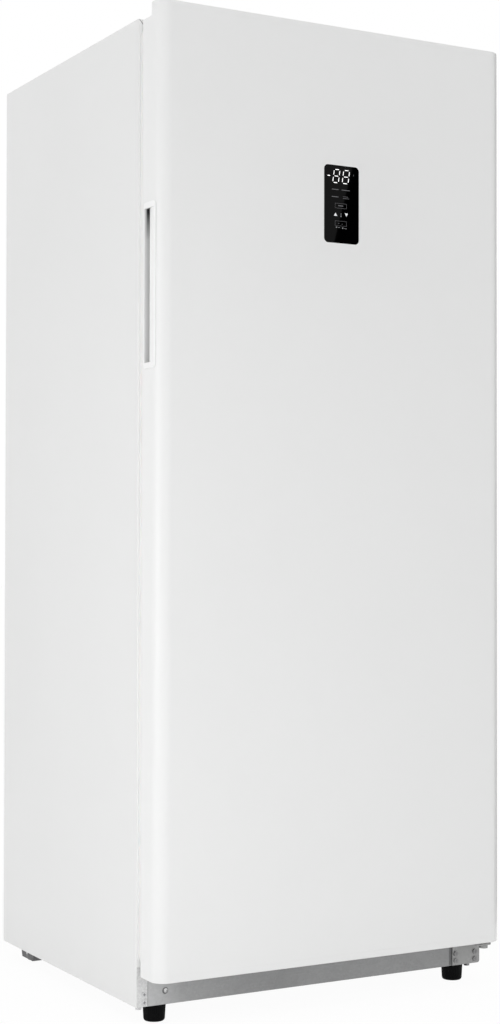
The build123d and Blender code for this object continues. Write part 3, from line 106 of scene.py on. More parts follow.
def roundedCorner(tree, radius):
    # the normal of the corners as if they were rounded
    return addNode(tree, "ShaderNodeBevel", {"Radius": radius}, samples=4).outputs["Normal"]


floatSocket = "NodeSocketFloat"
vectorSocket = "NodeSocketVector"
skinOutputs = [("Tone", floatSocket), ("Roughness", floatSocket), ("Height", floatSocket)]
maskOutputs = [("Mask", floatSocket)]


def effectGroup(name, defaults, outputs):
    # a shader group whose inputs are all floats with these defaults
    inputs = [(label, floatSocket, value) for label, value in defaults.items()]
    return newGroup(name, "ShaderNodeTree", inputs, outputs)


# effects that several finishes share
def sprayedCoat():
    # orange peel over a slow wave of the sheet, with clouds of tone and handled patches
    waveScale, cloudScale, handledScale = 4.5, 1.9, 6.0
    tree, given, made = effectGroup("sprayedCoat", {
        "Peel Scale": 420.0, "Peel Height": 3e-6, "Wave Height": 2e-4,
        "Low Roughness": 0.3, "High Roughness": 0.4, "Tone Spread": 0.02,
    }, skinOutputs)
    place = whereOn(tree)
    peel = noise(tree, place, given["Peel Scale"], detail=1.0)
    peel = calc(tree, "MULTIPLY", peel, given["Peel Height"])
    wave = calc(tree, "MULTIPLY", noise(tree, place, waveScale, detail=0.0), given["Wave Height"])
    tree.links.new(calc(tree, "ADD", peel, wave), made["Height"])
    dark = calc(tree, "SUBTRACT", 1.0, given["Tone Spread"])
    tree.links.new(cloudy(tree, noise(tree, place, cloudScale, detail=3.0), dark, 1.0), made["Tone"])
    handled = noise(tree, place, handledScale, detail=5.0)
    tree.links.new(cloudy(tree, handled, given["Low Roughness"], given["High Roughness"]), made["Roughness"])
    return tree


def mouldedSkin():
    # the pebbled skin of a moulding
    fineShare, flowScale, flowBend, smearScale = 0.4, 7.0, 1.2, 40.0
    tree, given, made = effectGroup("mouldedSkin", {
        "Grain Scale": 900.0, "Grain Height": 1e-5,
        "Low Roughness": 0.4, "High Roughness": 0.5, "Tone Spread": 0.04,
    }, skinOutputs)
    place = whereOn(tree)
    pebble = addNode(tree, "ShaderNodeTexVoronoi", {"Vector": place, "Scale": given["Grain Scale"]},
                     feature="SMOOTH_F1").outputs["Distance"]
    fine = noise(tree, place, calc(tree, "MULTIPLY", given["Grain Scale"], fineShare), detail=3.0)
    grain = calc(tree, "MULTIPLY", calc(tree, "ADD", pebble, fine), given["Grain Height"])
    tree.links.new(grain, made["Height"])
    dark = calc(tree, "SUBTRACT", 1.0, given["Tone Spread"])
    flow = noise(tree, place, flowScale, detail=4.0, distortion=flowBend)
    tree.links.new(cloudy(tree, flow, dark, 1.0), made["Tone"])
    smear = noise(tree, place, smearScale, detail=4.0)
    tree.links.new(cloudy(tree, smear, given["Low Roughness"], given["High Roughness"]), made["Roughness"])
    return tree


def zincSpangle():
    # crystal flakes of a zinc coat, each with its own tone and gloss
    bendScale, bendReach, cloudScale, cloudDark = 180.0, 0.004, 9.0, 0.88
    tree, given, made = effectGroup("zincSpangle", {
        "Flake Scale": 130.0, "Flake Contrast": 0.2,
        "Low Roughness": 0.3, "High Roughness": 0.5, "Relief": 1e-5,
    }, skinOutputs)
    place = whereOn(tree)
    bend = addNode(tree, "ShaderNodeTexNoise", {"Vector": place, "Scale": bendScale, "Detail": 2.0})
    bent = addNode(tree, "ShaderNodeVectorMath", {0: bend.outputs["Color"], 1: (bendReach,) * 3, 2: place},
                   operation="MULTIPLY_ADD").outputs[0]
    flake = addNode(tree, "ShaderNodeTexVoronoi", {"Vector": bent, "Scale": given["Flake Scale"]}).outputs
    parts = addNode(tree, "ShaderNodeSeparateColor", {"Color": flake["Color"]}).outputs
    dull = calc(tree, "SUBTRACT", 1.0, given["Flake Contrast"])
    cloud = cloudy(tree, noise(tree, place, cloudScale, detail=4.0, distortion=0.5), cloudDark, 1.0)
    shade = spread(tree, parts["Red"], 0.0, 1.0, dull, 1.0)
    tree.links.new(calc(tree, "MULTIPLY", cloud, shade), made["Tone"])
    rough = spread(tree, parts["Green"], 0.0, 1.0, given["Low Roughness"], given["High Roughness"])
    tree.links.new(rough, made["Roughness"])
    tree.links.new(calc(tree, "MULTIPLY", flake["Distance"], given["Relief"]), made["Height"])
    return tree


def hairScratches():
    # thin handling marks, drawn out along one direction
    softness = 0.12  # how far above the threshold a mark is full
    tree, given, made = newGroup(
        "hairScratches", "ShaderNodeTree",
        [("Stretch", vectorSocket, (40.0, 40.0, 900.0)), ("Threshold", floatSocket, 0.62)], maskOutputs)
    drawn = addNode(tree, "ShaderNodeVectorMath", {0: whereOn(tree), 1: given["Stretch"]},
                    operation="MULTIPLY").outputs[0]
    full = calc(tree, "ADD", given["Threshold"], softness)
    line = noise(tree, drawn, 1.0, detail=3.0, distortion=0.4)
    tree.links.new(spread(tree, line, given["Threshold"], full, 0.0, 1.0), made["Mask"])
    return tree


def rubbedEdge():
    # corners that hands and cartons have rubbed, broken up along their length
    flatLevel, cornerLevel, breakScale, breakLow, breakHigh = 0.998, 0.9, 60.0, 0.42, 0.62
    tree, given, made = effectGroup("rubbedEdge", {"Reach": 0.0008, "Amount": 0.5}, maskOutputs)
    level = addNode(tree, "ShaderNodeVectorMath", {0: roundedCorner(tree, given["Reach"]), 1: facing(tree)},
                    operation="DOT_PRODUCT").outputs["Value"]
    corner = spread(tree, level, flatLevel, cornerLevel, 0.0, 1.0)
    broken = noise(tree, whereOn(tree), breakScale, detail=5.0)
    broken = spread(tree, broken, breakLow, breakHigh, 0.0, 1.0)
    mask = calc(tree, "MULTIPLY", calc(tree, "MULTIPLY", corner, broken), given["Amount"])
    tree.links.new(mask, made["Mask"])
    return tree


def settledDust():
    # dust on what faces up, and a little scuffing near the floor
    patchScale, patchLow, patchHigh, thinnest, scuffShare, tilted = 24.0, 0.35, 0.75, 0.1, 0.5, 0.6
    tree, given, made = effectGroup("settledDust", {"Amount": 0.2, "Scuff Height": 0.12}, maskOutputs)
    place = whereOn(tree)
    upward = spread(tree, parted(tree, facing(tree))["Z"], tilted, 1.0, 0.0, 1.0)
    low = spread(tree, parted(tree, place)["Z"], 0.0, given["Scuff Height"], 1.0, 0.0)
    either = calc(tree, "MAXIMUM", upward, calc(tree, "MULTIPLY", low, scuffShare))
    patch = spread(tree, noise(tree, place, patchScale, detail=6.0), patchLow, patchHigh, thinnest, 1.0)
    mask = calc(tree, "MULTIPLY", calc(tree, "MULTIPLY", either, patch), given["Amount"])
    tree.links.new(mask, made["Mask"])
    return tree


effectMakers = (sprayedCoat, mouldedSkin, zincSpangle, hairScratches, rubbedEdge, settledDust)
effects = {make.__name__: make() for make in effectMakers}
print("shared effects:", len(effects))


def use(tree, effect, inputs):
    node = addNode(tree, "ShaderNodeGroup", node_tree=effects[effect])
    for key, value in inputs.items():
        node.inputs[key].default_value = value
    return node.outputs


# the finishes' shaders
def startMaterial(name):
    material = bpy.data.materials.new(name)
    material.use_nodes = True
    tree = material.node_tree
    tree.nodes.clear()
    surface = tree.nodes.new("ShaderNodeBsdfPrincipled")
    addNode(tree, "ShaderNodeOutputMaterial", {"Surface": surface.outputs["BSDF"]})
    return material, tree, surface


def toned(tree, color, tone):
    return addNode(tree, "ShaderNodeVectorMath", {0: color, "Scale": tone}, operation="SCALE").outputs[0]


def over(tree, base, mask, color):
    # color over base where the mask is 1
    node = addNode(tree, "ShaderNodeMix", data_type="RGBA")
    for key, value in ((0, mask), (6, base), (7, (*color, 1.0))):
        if isinstance(value, bpy.types.NodeSocket):
            tree.links.new(value, node.inputs[key])
        else:
            node.inputs[key].default_value = value
    return node.outputs[2]


def raised(tree, surface, height, **normal):
    inputs = {"Height": height, "Distance": 1.0, "Strength": 1.0, **normal}
    bump = addNode(tree, "ShaderNodeBump", inputs)
    tree.links.new(bump.outputs["Normal"], surface.inputs["Normal"])


def softened(tree, surface, height, edge):
    # a corner a little rounder than the sheet it is drawn as, under the surface's own relief
    raised(tree, surface, height, Normal=roundedCorner(tree, edge))


def dressed(surface, values):
    for label, value in values.items():
        surface.inputs[label].default_value = value


def roughened(tree, rough, mask, amount):
    return calc(tree, "ADD", rough, calc(tree, "MULTIPLY", mask, amount))


dustColor = (0.42, 0.4, 0.37)
dustRoughness = 0.3


def enamel(name, look):
    material, tree, surface = startMaterial(name)
    coat = use(tree, "sprayedCoat", look["coat"])
    color = toned(tree, look["color"], coat["Tone"])
    worn = use(tree, "rubbedEdge", look["edge"])["Mask"]
    color = over(tree, color, worn, look["under"])
    dust = use(tree, "settledDust", look["dust"])["Mask"]
    color = over(tree, color, dust, dustColor)
    scratch = use(tree, "hairScratches", look["scratch"])["Mask"]
    rough = roughened(tree, coat["Roughness"], scratch, look["scratchDepth"])
    rough = roughened(tree, rough, dust, dustRoughness)
    tree.links.new(color, surface.inputs["Base Color"])
    tree.links.new(rough, surface.inputs["Roughness"])
    dressed(surface, look["surface"])
    softened(tree, surface, coat["Height"], look["corner"])
    return material


def moulding(name, look):
    material, tree, surface = startMaterial(name)
    skin = use(tree, "mouldedSkin", look["skin"])
    color = toned(tree, look["color"], skin["Tone"])
    worn = use(tree, "rubbedEdge", look["edge"])["Mask"]
    color = over(tree, color, worn, look["rubbed"])
    dust = use(tree, "settledDust", look["dust"])["Mask"]
    color = over(tree, color, dust, dustColor)
    # painted shade: darkens the colour inside a hollow, most towards its upper end
    if "hollow" in look:
        hollow, at = look["hollow"], parted(tree, whereOn(tree))
        inside = spread(tree, at["X"], *hollow["x"], 0.0, 1.0)
        high = spread(tree, at["Z"], *hollow["z"], hollow["all"], hollow["end"])
        color = over(tree, color, calc(tree, "MULTIPLY", inside, high), hollow["color"])
    rough = roughened(tree, skin["Roughness"], worn, look["polish"])
    rough = roughened(tree, rough, dust, dustRoughness)
    tree.links.new(color, surface.inputs["Base Color"])
    tree.links.new(rough, surface.inputs["Roughness"])
    dressed(surface, look["surface"])
    softened(tree, surface, skin["Height"], look["corner"])
    return material


def bareMetal(name, look):
    scratchPolish, dustDullness = -0.12, 0.4
    material, tree, surface = startMaterial(name)
    flake = use(tree, "zincSpangle", look["flake"])
    scratch = use(tree, "hairScratches", look["scratch"])["Mask"]
    tone = flake["Tone"]
    # painted sheen: tone brighter or darker across X, standing in for the light's fall-off
    for near, far, start, end in look["sheen"]:
        across = parted(tree, whereOn(tree))["X"]
        tone = calc(tree, "MULTIPLY", tone, spread(tree, across, near, far, start, end))
    color = toned(tree, look["color"], tone)
    color = over(tree, color, calc(tree, "MULTIPLY", scratch, look["marks"]), look["bright"])
    worn = use(tree, "rubbedEdge", look["edge"])["Mask"]
    color = over(tree, color, worn, look["bright"])
    dust = use(tree, "settledDust", look["dust"])["Mask"]
    color = over(tree, color, dust, dustColor)
    rough = roughened(tree, flake["Roughness"], scratch, scratchPolish)
    tree.links.new(color, surface.inputs["Base Color"])
    tree.links.new(roughened(tree, rough, dust, dustDullness), surface.inputs["Roughness"])
    tree.links.new(spread(tree, dust, 0.0, 1.0, look["metal"], 0.0), surface.inputs["Metallic"])
    softened(tree, surface, flake["Height"], look["corner"])
    return material


def clearSheet(name, look):
    # glass and clear plastic: a tinted edge, faint wipe marks
    edgeOn, flatOn, wipeDullness = 0.5, 0.9, 0.08
    material, tree, surface = startMaterial(name)
    level = calc(tree, "ABSOLUTE", parted(tree, facing(tree))["Z"])
    rim = spread(tree, level, edgeOn, flatOn, look["rimShare"], 0.0)
    tree.links.new(over(tree, (*look["color"], 1.0), rim, look["rim"]), surface.inputs["Base Color"])
    skin = use(tree, "mouldedSkin", look["skin"])
    wiped = use(tree, "hairScratches", look["scratch"])["Mask"]
    tree.links.new(roughened(tree, skin["Roughness"], wiped, wipeDullness), surface.inputs["Roughness"])
    raised(tree, surface, skin["Height"])
    dressed(surface, {"Transmission Weight": look["clear"], "IOR": look["ior"]})
    return material


def blackWindow(name, look):
    # black printed panel: deep gloss with wipe marks
    wipeDullness = 0.02
    material, tree, surface = startMaterial(name)
    coat = use(tree, "sprayedCoat", look["coat"])
    tree.links.new(toned(tree, look["color"], coat["Tone"]), surface.inputs["Base Color"])
    wiped = use(tree, "hairScratches", look["scratch"])["Mask"]
    tree.links.new(roughened(tree, coat["Roughness"], wiped, wipeDullness), surface.inputs["Roughness"])
    dressed(surface, {"Specular IOR Level": look["gloss"]})
    softened(tree, surface, coat["Height"], look["corner"])
    return material


def lit(name, color, strength):
    # a lamp behind a printed mark, a little uneven
    unevenScale, dimmest, printRoughness = 600.0, 0.82, 0.3
    material, tree, surface = startMaterial(name)
    glow = cloudy(tree, noise(tree, whereOn(tree), unevenScale), dimmest, 1.0)
    tree.links.new(toned(tree, color, glow), surface.inputs["Emission Color"])
    tree.links.new(toned(tree, color, glow), surface.inputs["Base Color"])
    dressed(surface, {"Emission Strength": strength, "Roughness": printRoughness})
    return material


# the finishes' values
def sprayed(peel, peelHeight, wave, low, high, tone):
    return {"Peel Scale": peel, "Peel Height": peelHeight, "Wave Height": wave,
            "Low Roughness": low, "High Roughness": high, "Tone Spread": tone}


def moulded(grain, height, low, high, tone):
    return {"Grain Scale": grain, "Grain Height": height, "Low Roughness": low, "High Roughness": high,
            "Tone Spread": tone}


def rubbed(reach, amount):
    return {"Reach": reach, "Amount": amount}


def dusty(amount, scuffHeight):
    return {"Amount": amount, "Scuff Height": scuffHeight}


def marked(stretch, threshold):
    return {"Stretch": stretch, "Threshold": threshold}


handling = marked((60.0, 60.0, 1400.0), 0.7)
whiteEdge = rubbed(0.00025, 0.05)
noDust = dusty(0.04, 0.02)


def paint(color, under, corner, coat, dust, edge=whiteEdge, scratchDepth=0.004,
          clear=0.0, clearRoughness=0.3):
    # coat: scale and height of the peel, height of the wave, least and most roughness, spread of tone
    return {
        "color": color, "under": under, "corner": corner, "coat": sprayed(*coat), "edge": edge, "dust": dust,
        "scratch": handling, "scratchDepth": scratchDepth,
        "surface": {"Coat Roughness": clearRoughness, "Coat Weight": clear},
    }


doorCoat = (420.0, 3e-6, 1.5e-4, 0.285, 0.34, 0.012)
enamels = {
    "cabinet_paint": paint(
        (0.82, 0.823, 0.82), (0.6, 0.6, 0.6), 0.00025, (380.0, 4e-6, 3e-4, 0.3, 0.38, 0.015),
        dusty(0.1, 0.1), clear=0.25, clearRoughness=0.18),
    "door_paint": paint(
        (0.86, 0.863, 0.86), (0.6, 0.6, 0.6), 0.00025, doorCoat, noDust, clear=0.35, clearRoughness=0.12),
    # painted highlight: paler than the cabinet's white, to lighten the flange strip that the door shades
    "flange_paint": paint(
        (0.97, 0.972, 0.97), (0.6, 0.6, 0.6), 0.0002, doorCoat, noDust, clear=0.2, clearRoughness=0.2),
    "back_paint": paint(
        (0.7, 0.705, 0.7), (0.5, 0.5, 0.5), 0.0006, (700.0, 2e-5, 8e-4, 0.5, 0.62, 0.05),
        dusty(0.15, 0.4), scratchDepth=0.1),
    "compressor": paint(
        (0.018, 0.018, 0.02), (0.2, 0.2, 0.21), 0.0012, (260.0, 2.5e-5, 2e-4, 0.29, 0.42, 0.3),
        dusty(0.35, 0.1), rubbed(0.0012, 0.5), scratchDepth=0.1, clear=0.2, clearRoughness=0.2),
    "coil": paint(
        (0.022, 0.022, 0.024), (0.16, 0.16, 0.17), 0.0003, (600.0, 1e-5, 1e-4, 0.4, 0.55, 0.3),
        dusty(0.4, 0.2), rubbed(0.0004, 0.35), scratchDepth=0.1),
}

mouldingScuffs = 0.05  # height that scuffs reach over the floor
mouldingWear = 0.3
rubbedPolish = -0.12
lightReach = 0.002  # under the skin
coatRoughness = 0.12


def plastic(color, worn, skin, corner, depth=0.0, dust=0.05, coat=0.0, gloss=0.5):
    # skin: scale and height of the grain, least and most roughness, spread of tone. depth: share of
    # light under the skin. The clear-coated ones aren't polished by wear.
    return {
        "color": color, "rubbed": worn, "corner": corner, "skin": moulded(*skin),
        "edge": rubbed(corner, mouldingWear), "dust": dusty(dust, mouldingScuffs),
        "polish": rubbedPolish if coat == 0.0 else 0.0,
        "surface": {"Subsurface Weight": depth, "Subsurface Scale": lightReach, "Specular IOR Level": gloss,
                    "Coat Weight": coat, "Coat Roughness": coatRoughness},
    }


mouldings = {
    "cap_plastic": plastic(
        (0.86, 0.863, 0.86), (0.88, 0.88, 0.88), (900.0, 4e-6, 0.285, 0.34, 0.012), 0.0006,
        dust=0.03, coat=0.35),
    "handle_plastic": plastic(
        (0.93, 0.933, 0.93), (0.93, 0.93, 0.93), (1100.0, 4e-6, 0.285, 0.34, 0.015), 0.0008,
        dust=0.03, coat=0.3),
    "liner_plastic": plastic(
        (0.86, 0.868, 0.872), (0.9, 0.9, 0.9), (520.0, 2e-5, 0.29, 0.36, 0.02), 0.0006,
        depth=0.08, dust=0.02),
    "foam": plastic(
        (0.82, 0.72, 0.47), (0.86, 0.8, 0.6), (260.0, 2e-4, 0.8, 0.95, 0.2), 0.001, depth=0.1),
    "gasket": plastic(
        (0.9, 0.9, 0.89), (0.9, 0.9, 0.89), (1500.0, 6e-6, 0.45, 0.6, 0.06), 0.0005, depth=0.1),
    "board": plastic(
        (0.08, 0.19, 0.1), (0.2, 0.3, 0.2), (900.0, 1e-5, 0.4, 0.5, 0.1), 0.0005),
    "trim": plastic(
        (0.86, 0.865, 0.87), (0.9, 0.9, 0.9), (1200.0, 5e-6, 0.29, 0.35, 0.02), 0.0008,
        depth=0.08, dust=0.02),
    "black_plastic": plastic(
        (0.028, 0.028, 0.03), (0.07, 0.07, 0.07), (800.0, 2e-5, 0.42, 0.56, 0.2), 0.0008, dust=0.25),
    "foot": plastic(
        (0.0032, 0.0032, 0.0036), (0.01, 0.01, 0.01), (1000.0, 2e-5, 0.4, 0.55, 0.2), 0.0008,
        dust=0.006, gloss=0.06),
    "rubber": plastic(
        (0.02, 0.02, 0.02), (0.05, 0.05, 0.05), (700.0, 3e-5, 0.65, 0.8, 0.2), 0.001, dust=0.2),
    "hinge_plastic": plastic(
        (0.82, 0.823, 0.818), (0.86, 0.86, 0.86), (800.0, 1e-5, 0.4, 0.5, 0.03), 0.001,
        depth=0.05, dust=0.12),
    "bush": plastic(
        (0.78, 0.78, 0.75), (0.84, 0.84, 0.82), (900.0, 8e-6, 0.35, 0.45, 0.03), 0.0005, depth=0.1),
    # the grey of the rail plug's collar and of slits, also used as painted shade in the corner slit and in the
    # screws' cross recesses
    "collarGreyAndShade": plastic(
        (0.26, 0.26, 0.265), (0.3, 0.3, 0.3), (800.0, 2e-5, 0.42, 0.56, 0.15), 0.0006),
}
# painted shade in the hand grip's hollow, thick under its upper end
mouldings["handle_plastic"]["hollow"] = {
    "x": (-0.3522, -0.3502), "z": (1.325, 1.372), "all": 0.12, "end": 0.95, "color": (0.01, 0.01, 0.01),
}

flakeRelief = 1e-5
metalWear = 0.5
metalScuffs = 0.06
scratchThreshold = 0.6
brushed, rolled = (900.0, 40.0, 40.0), (14.0, 200.0, 900.0)  # how far scratches are drawn out


def metal(color, bright, flake, corner, stretch=brushed, dust=0.08, metalness=1.0, sheen=(), marks=0.5):
    # flake: scale, contrast, least and most roughness. sheen: from X, to X, tone there and there.
    flakes, contrast, low, high = flake
    return {
        "color": color, "bright": bright, "corner": corner,
        "metal": metalness, "sheen": sheen, "marks": marks,
        "flake": {"Flake Scale": flakes, "Flake Contrast": contrast, "Low Roughness": low,
                  "High Roughness": high, "Relief": flakeRelief},
        "scratch": marked(stretch, scratchThreshold), "edge": rubbed(corner, metalWear),
        "dust": dusty(dust, metalScuffs),
    }


fineFlake = (260.0, 0.07, 0.4, 0.5)
# painted sheen: the same sheet steel brighter at the left end and darker where the light falls off along the
# front
railSheen = ((-0.335, -0.27, 1.5, 1.0), (-0.27, -0.12, 1.0, 0.78))
screwSheen = ((-0.33, 0.29, 1.5, 0.62),)
metals = {
    "galvanised": metal((0.4, 0.403, 0.405), (0.6, 0.6, 0.61), fineFlake, 0.0004, rolled, metalness=0.8),
    "bracket_steel": metal(
        (0.39, 0.392, 0.39), (0.5, 0.5, 0.5), (400.0, 0.06, 0.4, 0.52), 0.0005, metalness=0.5, marks=0.2),
    "screw_steel": metal((0.66, 0.66, 0.67), (0.85, 0.85, 0.86), (500.0, 0.08, 0.2, 0.34), 0.0003),
    "copper": metal((0.66, 0.33, 0.2), (0.85, 0.52, 0.36), (260.0, 0.18, 0.29, 0.4), 0.0003, dust=0.15),
    "aluminium": metal((0.72, 0.73, 0.74), (0.88, 0.89, 0.9), (300.0, 0.08, 0.3, 0.42), 0.0003, dust=0.03),
    "cornerPlate": metal(
        (0.86, 0.862, 0.86), (0.88, 0.88, 0.88), (420.0, 0.16, 0.4, 0.55), 0.0003, metalness=0.3),
    "railSheet": metal(
        (0.4, 0.403, 0.405), (0.5, 0.5, 0.5), fineFlake, 0.0004, rolled,
        metalness=0.8, sheen=railSheen, marks=0.15),
    # painted shade: a darker steel for the sheet in the channel beside the hinge bracket
    "railFold": metal(
        (0.18, 0.182, 0.185), (0.25, 0.25, 0.25), fineFlake, 0.0002, metalness=0.7, marks=0.15),
    # a dark grey steel, darkened further as painted shade under the cabinet
    "rollerSheetAndShade": metal(
        (0.16, 0.16, 0.163), (0.3, 0.3, 0.3), (260.0, 0.2, 0.4, 0.55), 0.0004, metalness=0.8),
    "caseScrew": metal(
        (0.5, 0.5, 0.505), (0.6, 0.6, 0.6), (500.0, 0.08, 0.35, 0.5), 0.0003,
        metalness=0.7, sheen=screwSheen),
}
nodeFinish = {"base_rail_front": "railSheet", "roller_brackets": "rollerSheetAndShade", "case_screws": "caseScrew"}
clears = {
    "shelf_glass": {
        "color": (0.93, 0.975, 0.96), "rim": (0.25, 0.62, 0.5), "rimShare": 0.8, "clear": 1.0, "ior": 1.5,
        "skin": moulded(60.0, 1e-6, 0.02, 0.07, 0.0), "scratch": marked((500.0, 20.0, 20.0), 0.66),
    },
    "clear_plastic": {
        "color": (0.9, 0.95, 0.975), "rim": (0.78, 0.88, 0.93), "rimShare": 0.5, "clear": 1.0, "ior": 1.49,
        "skin": moulded(300.0, 8e-6, 0.1, 0.2, 0.0), "scratch": marked((20.0, 20.0, 600.0), 0.64),
    },
    "lamp": {
        "color": (0.96, 0.96, 0.94), "rim": (0.9, 0.9, 0.88), "rimShare": 0.4, "clear": 0.7, "ior": 1.49,
        "skin": moulded(420.0, 4e-5, 0.4, 0.55, 0.0), "scratch": marked((200.0, 20.0, 20.0), 0.68),
    },
}
windowLook = {
    "color": (0.0005, 0.0005, 0.0006), "corner": 0.0004, "gloss": 0.3,
    "coat": sprayed(90.0, 1e-6, 2e-5, 0.012, 0.024, 0.4), "scratch": marked((600.0, 30.0, 30.0), 0.66),
}

finishes = {}
for maker, looks in ((enamel, enamels), (moulding, mouldings), (bareMetal, metals), (clearSheet, clears)):
    finishes.update({name: maker(name + "Finish", look) for name, look in looks.items()})
finishes["display_glass"] = blackWindow("displayGlassFinish", windowLook)
for name, node in nodes.items():
    for materialSlot in node.material_slots:
        materialSlot.material = finishes[nodeFinish.get(name, materialSlot.material.name)]
print("finishes:", len(finishes))


# small pieces
def meshOf(name, shape):
    # turns a bmesh into a mesh
    data = bpy.data.meshes.new(name)
    shape.to_mesh(data)
    shape.free()
    return data


def placed(name, data):
    thing = bpy.data.objects.new(name, data)
    bpy.context.scene.collection.objects.link(thing)
    return thing


def joined(shape, reach):
    # joins points that lie within reach of each other and turns the faces outwards
    bmesh.ops.remove_doubles(shape, verts=shape.verts, dist=reach)
    bmesh.ops.recalc_face_normals(shape, faces=shape.faces)


plateReach, grownReach = 1e-7, 1e-6


def meshPiece(name, body, material, shape):
    # shape is a bmesh; it becomes a piece that rides on a body
    joined(shape, plateReach)
    piece = placed(name, meshOf(name, shape))
    piece.data.materials.append(material)
    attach(piece, body)


def prism(shape, outline, front, back):
    # a flat plate with its outline in X and Z
    near = [shape.verts.new((x, front, z)) for x, z in outline]
    far = [shape.verts.new((x, back, z)) for x, z in outline]
    shape.faces.new(near)
    shape.faces.new(far[::-1])
    for index in range(len(outline)):
        after = (index + 1) % len(outline)
        shape.faces.new((near[after], near[index], far[index], far[after]))


def rectangle(left, right, low, high):
    return [(left, low), (right, low), (right, high), (left, high)]


def disc(shape, x, z, radius, front, back, sides=24):
    turns = [math.tau * side / sides for side in range(sides)]
    prism(shape, [(x + radius * math.cos(turn), z + radius * math.sin(turn)) for turn in turns], front, back)


def stroke(points, width):
    # outline of a straight stroke with pointed ends, as in a lamp's segment
    (x0, z0), (x1, z1) = points
    along = Vector((x1 - x0, z1 - z0)).normalized()
    across = Vector((-along.y, along.x)) * width / 2
    start, end = Vector((x0, z0)), Vector((x1, z1))
    inset = along * width / 2
    near, far = start + inset, end - inset
    return [start, near + across, far + across, end, far - across, near - across]


def ringBox(shape, x0, x1, z0, z1, line, front, back):
    low, high = z0 + line, z1 - line
    for left, right, bottom, top in ((x0, x1, z0, low), (x0, x1, high, z1),
                                     (x0, x0 + line, low, high), (x1 - line, x1, low, high)):
        prism(shape, rectangle(left, right, bottom, top), front, back)


windowMarks = {
    "front": -0.34512, "back": -0.34485, "slant": 0.15,
    "digits": [(-0.0148, 0.0128), (0.0046, 0.0134)],  # left edge and width of each
    "digitZ": (1.4465, 1.471), "segment": 0.0012, "segmentGap": 0.0019,
    "minus": ((-0.0250, 1.4585), (-0.0192, 1.4585)), "minusThickness": 0.0014,
    # middle of each, and 1 for up or -1 for down
    "arrows": [(-0.0082, 1.3914, 1), (0.0142, 1.3918, -1)], "arrowHalf": 0.0034, "arrowRise": 0.0028,
    # printed strokes: left, right, height, thickness
    "bars": [
        (-0.016, -0.0022, 1.4352, 0.0011), (0.0042, 0.0212, 1.4352, 0.0011),
        (-0.016, -0.0022, 1.4222, 0.0012), (0.0072, 0.0176, 1.4236, 0.0006),
        (0.0072, 0.0196, 1.4206, 0.0007), (-0.0026, 0.0076, 1.407, 0.0014),
        (-0.0026, -0.0004, 1.3757, 0.0008), (0.0046, 0.0066, 1.375, 0.0008),
        (0.0286, 0.0294, 1.4632, 0.0028),
    ],
    "boxes": [(-0.0092, 0.0146, 1.4025, 1.4112), (-0.0092, 0.0146, 1.3714, 1.3802)], "boxLine": 0.00035,
    "dots": [
        (-0.0074, -0.0047, 1.3688, 0.0017), (-0.0026, 0.0008, 1.3686, 0.0007),
        (0.0052, 0.0078, 1.368, 0.0018), (0.0096, 0.0152, 1.3676, 0.0006),
    ],
    "thermometer": {
        "x": 0.0031, "bulb": 1.3886, "top": 1.3942, "half": 0.00035, "radius": 0.0011, "sides": 12,
    },
    # colour and strength
    "digitGlow": ((1.0, 1.0, 1.0), 0.85), "arrowGlow": ((0.62, 0.63, 0.64), 0.6),
    "printGlow": ((0.085, 0.085, 0.09), 0.6), "lampGlow": ((0.2, 0.205, 0.21), 0.5),
}


def digitStrokes(left, low, high, width, gap):
    middle = (low + high) / 2
    right = left + width
    across = [((left + gap, z), (right - gap, z)) for z in (high, middle, low)]
    upper, lower = (high - gap, middle + gap), (middle - gap, low + gap)
    return across + [((x, above), (x, below)) for x in (left, right) for above, below in (upper, lower)]


def bar(shape, marks, left, right, z, thickness):
    outline = rectangle(left, right, z - thickness / 2, z + thickness / 2)
    prism(shape, outline, marks["front"], marks["back"])


def makeWindowMarks(marks):
    front, back = marks["front"], marks["back"]
    low, high = marks["digitZ"]
    thick, gap = marks["segment"], marks["segmentGap"]
    digits, arrows, prints, lamps = (bmesh.new() for _ in range(4))
    for left, width in marks["digits"]:
        for points in digitStrokes(left + thick / 2, low + thick / 2, high - thick / 2, width - thick, gap):
            outline = [(x + (z - low) * marks["slant"], z) for x, z in stroke(points, thick)]
            prism(digits, outline, front, back)
    prism(digits, stroke(marks["minus"], marks["minusThickness"]), front, back)
    half, rise = marks["arrowHalf"], marks["arrowRise"]
    for x, z, turn in marks["arrows"]:
        foot, tip = z - rise * turn, z + rise * turn
        prism(arrows, [(x - half, foot), (x + half, foot), (x, tip)], front, back)
    for mark in marks["bars"]:
        bar(prints, marks, *mark)
    for sides in marks["boxes"]:
        ringBox(prints, *sides, marks["boxLine"], front, back)
    for mark in marks["dots"]:
        bar(lamps, marks, *mark)
    gauge = marks["thermometer"]
    x, bulb, top = gauge["x"], gauge["bulb"], gauge["top"]
    bar(lamps, marks, x - gauge["half"], x + gauge["half"], (bulb + top) / 2, top - bulb)
    disc(lamps, x, bulb, gauge["radius"], front, back, gauge["sides"])
    for name, glow, shape in (("windowDigits", "digitGlow", digits), ("windowArrows", "arrowGlow", arrows),
                              ("windowPrints", "printGlow", prints), ("windowLamps", "lampGlow", lamps)):
        meshPiece(name, "door", lit(glow, *marks[glow]), shape)


makeWindowMarks(windowMarks)
print("window marks made")


def makePlate(name, finish, look):
    shape = bmesh.new()
    prism(shape, rectangle(*look["x"], *look["z"]), look["front"], look["back"])
    meshPiece(name, "cabinet", finishes[finish], shape)


# a bare steel facing under the two screws, wrapped onto the cabinet's front left foot
cornerPlate = {"x": (-0.3542, -0.3342), "z": (0.0303, 0.0978), "front": -0.27045, "back": -0.26995}
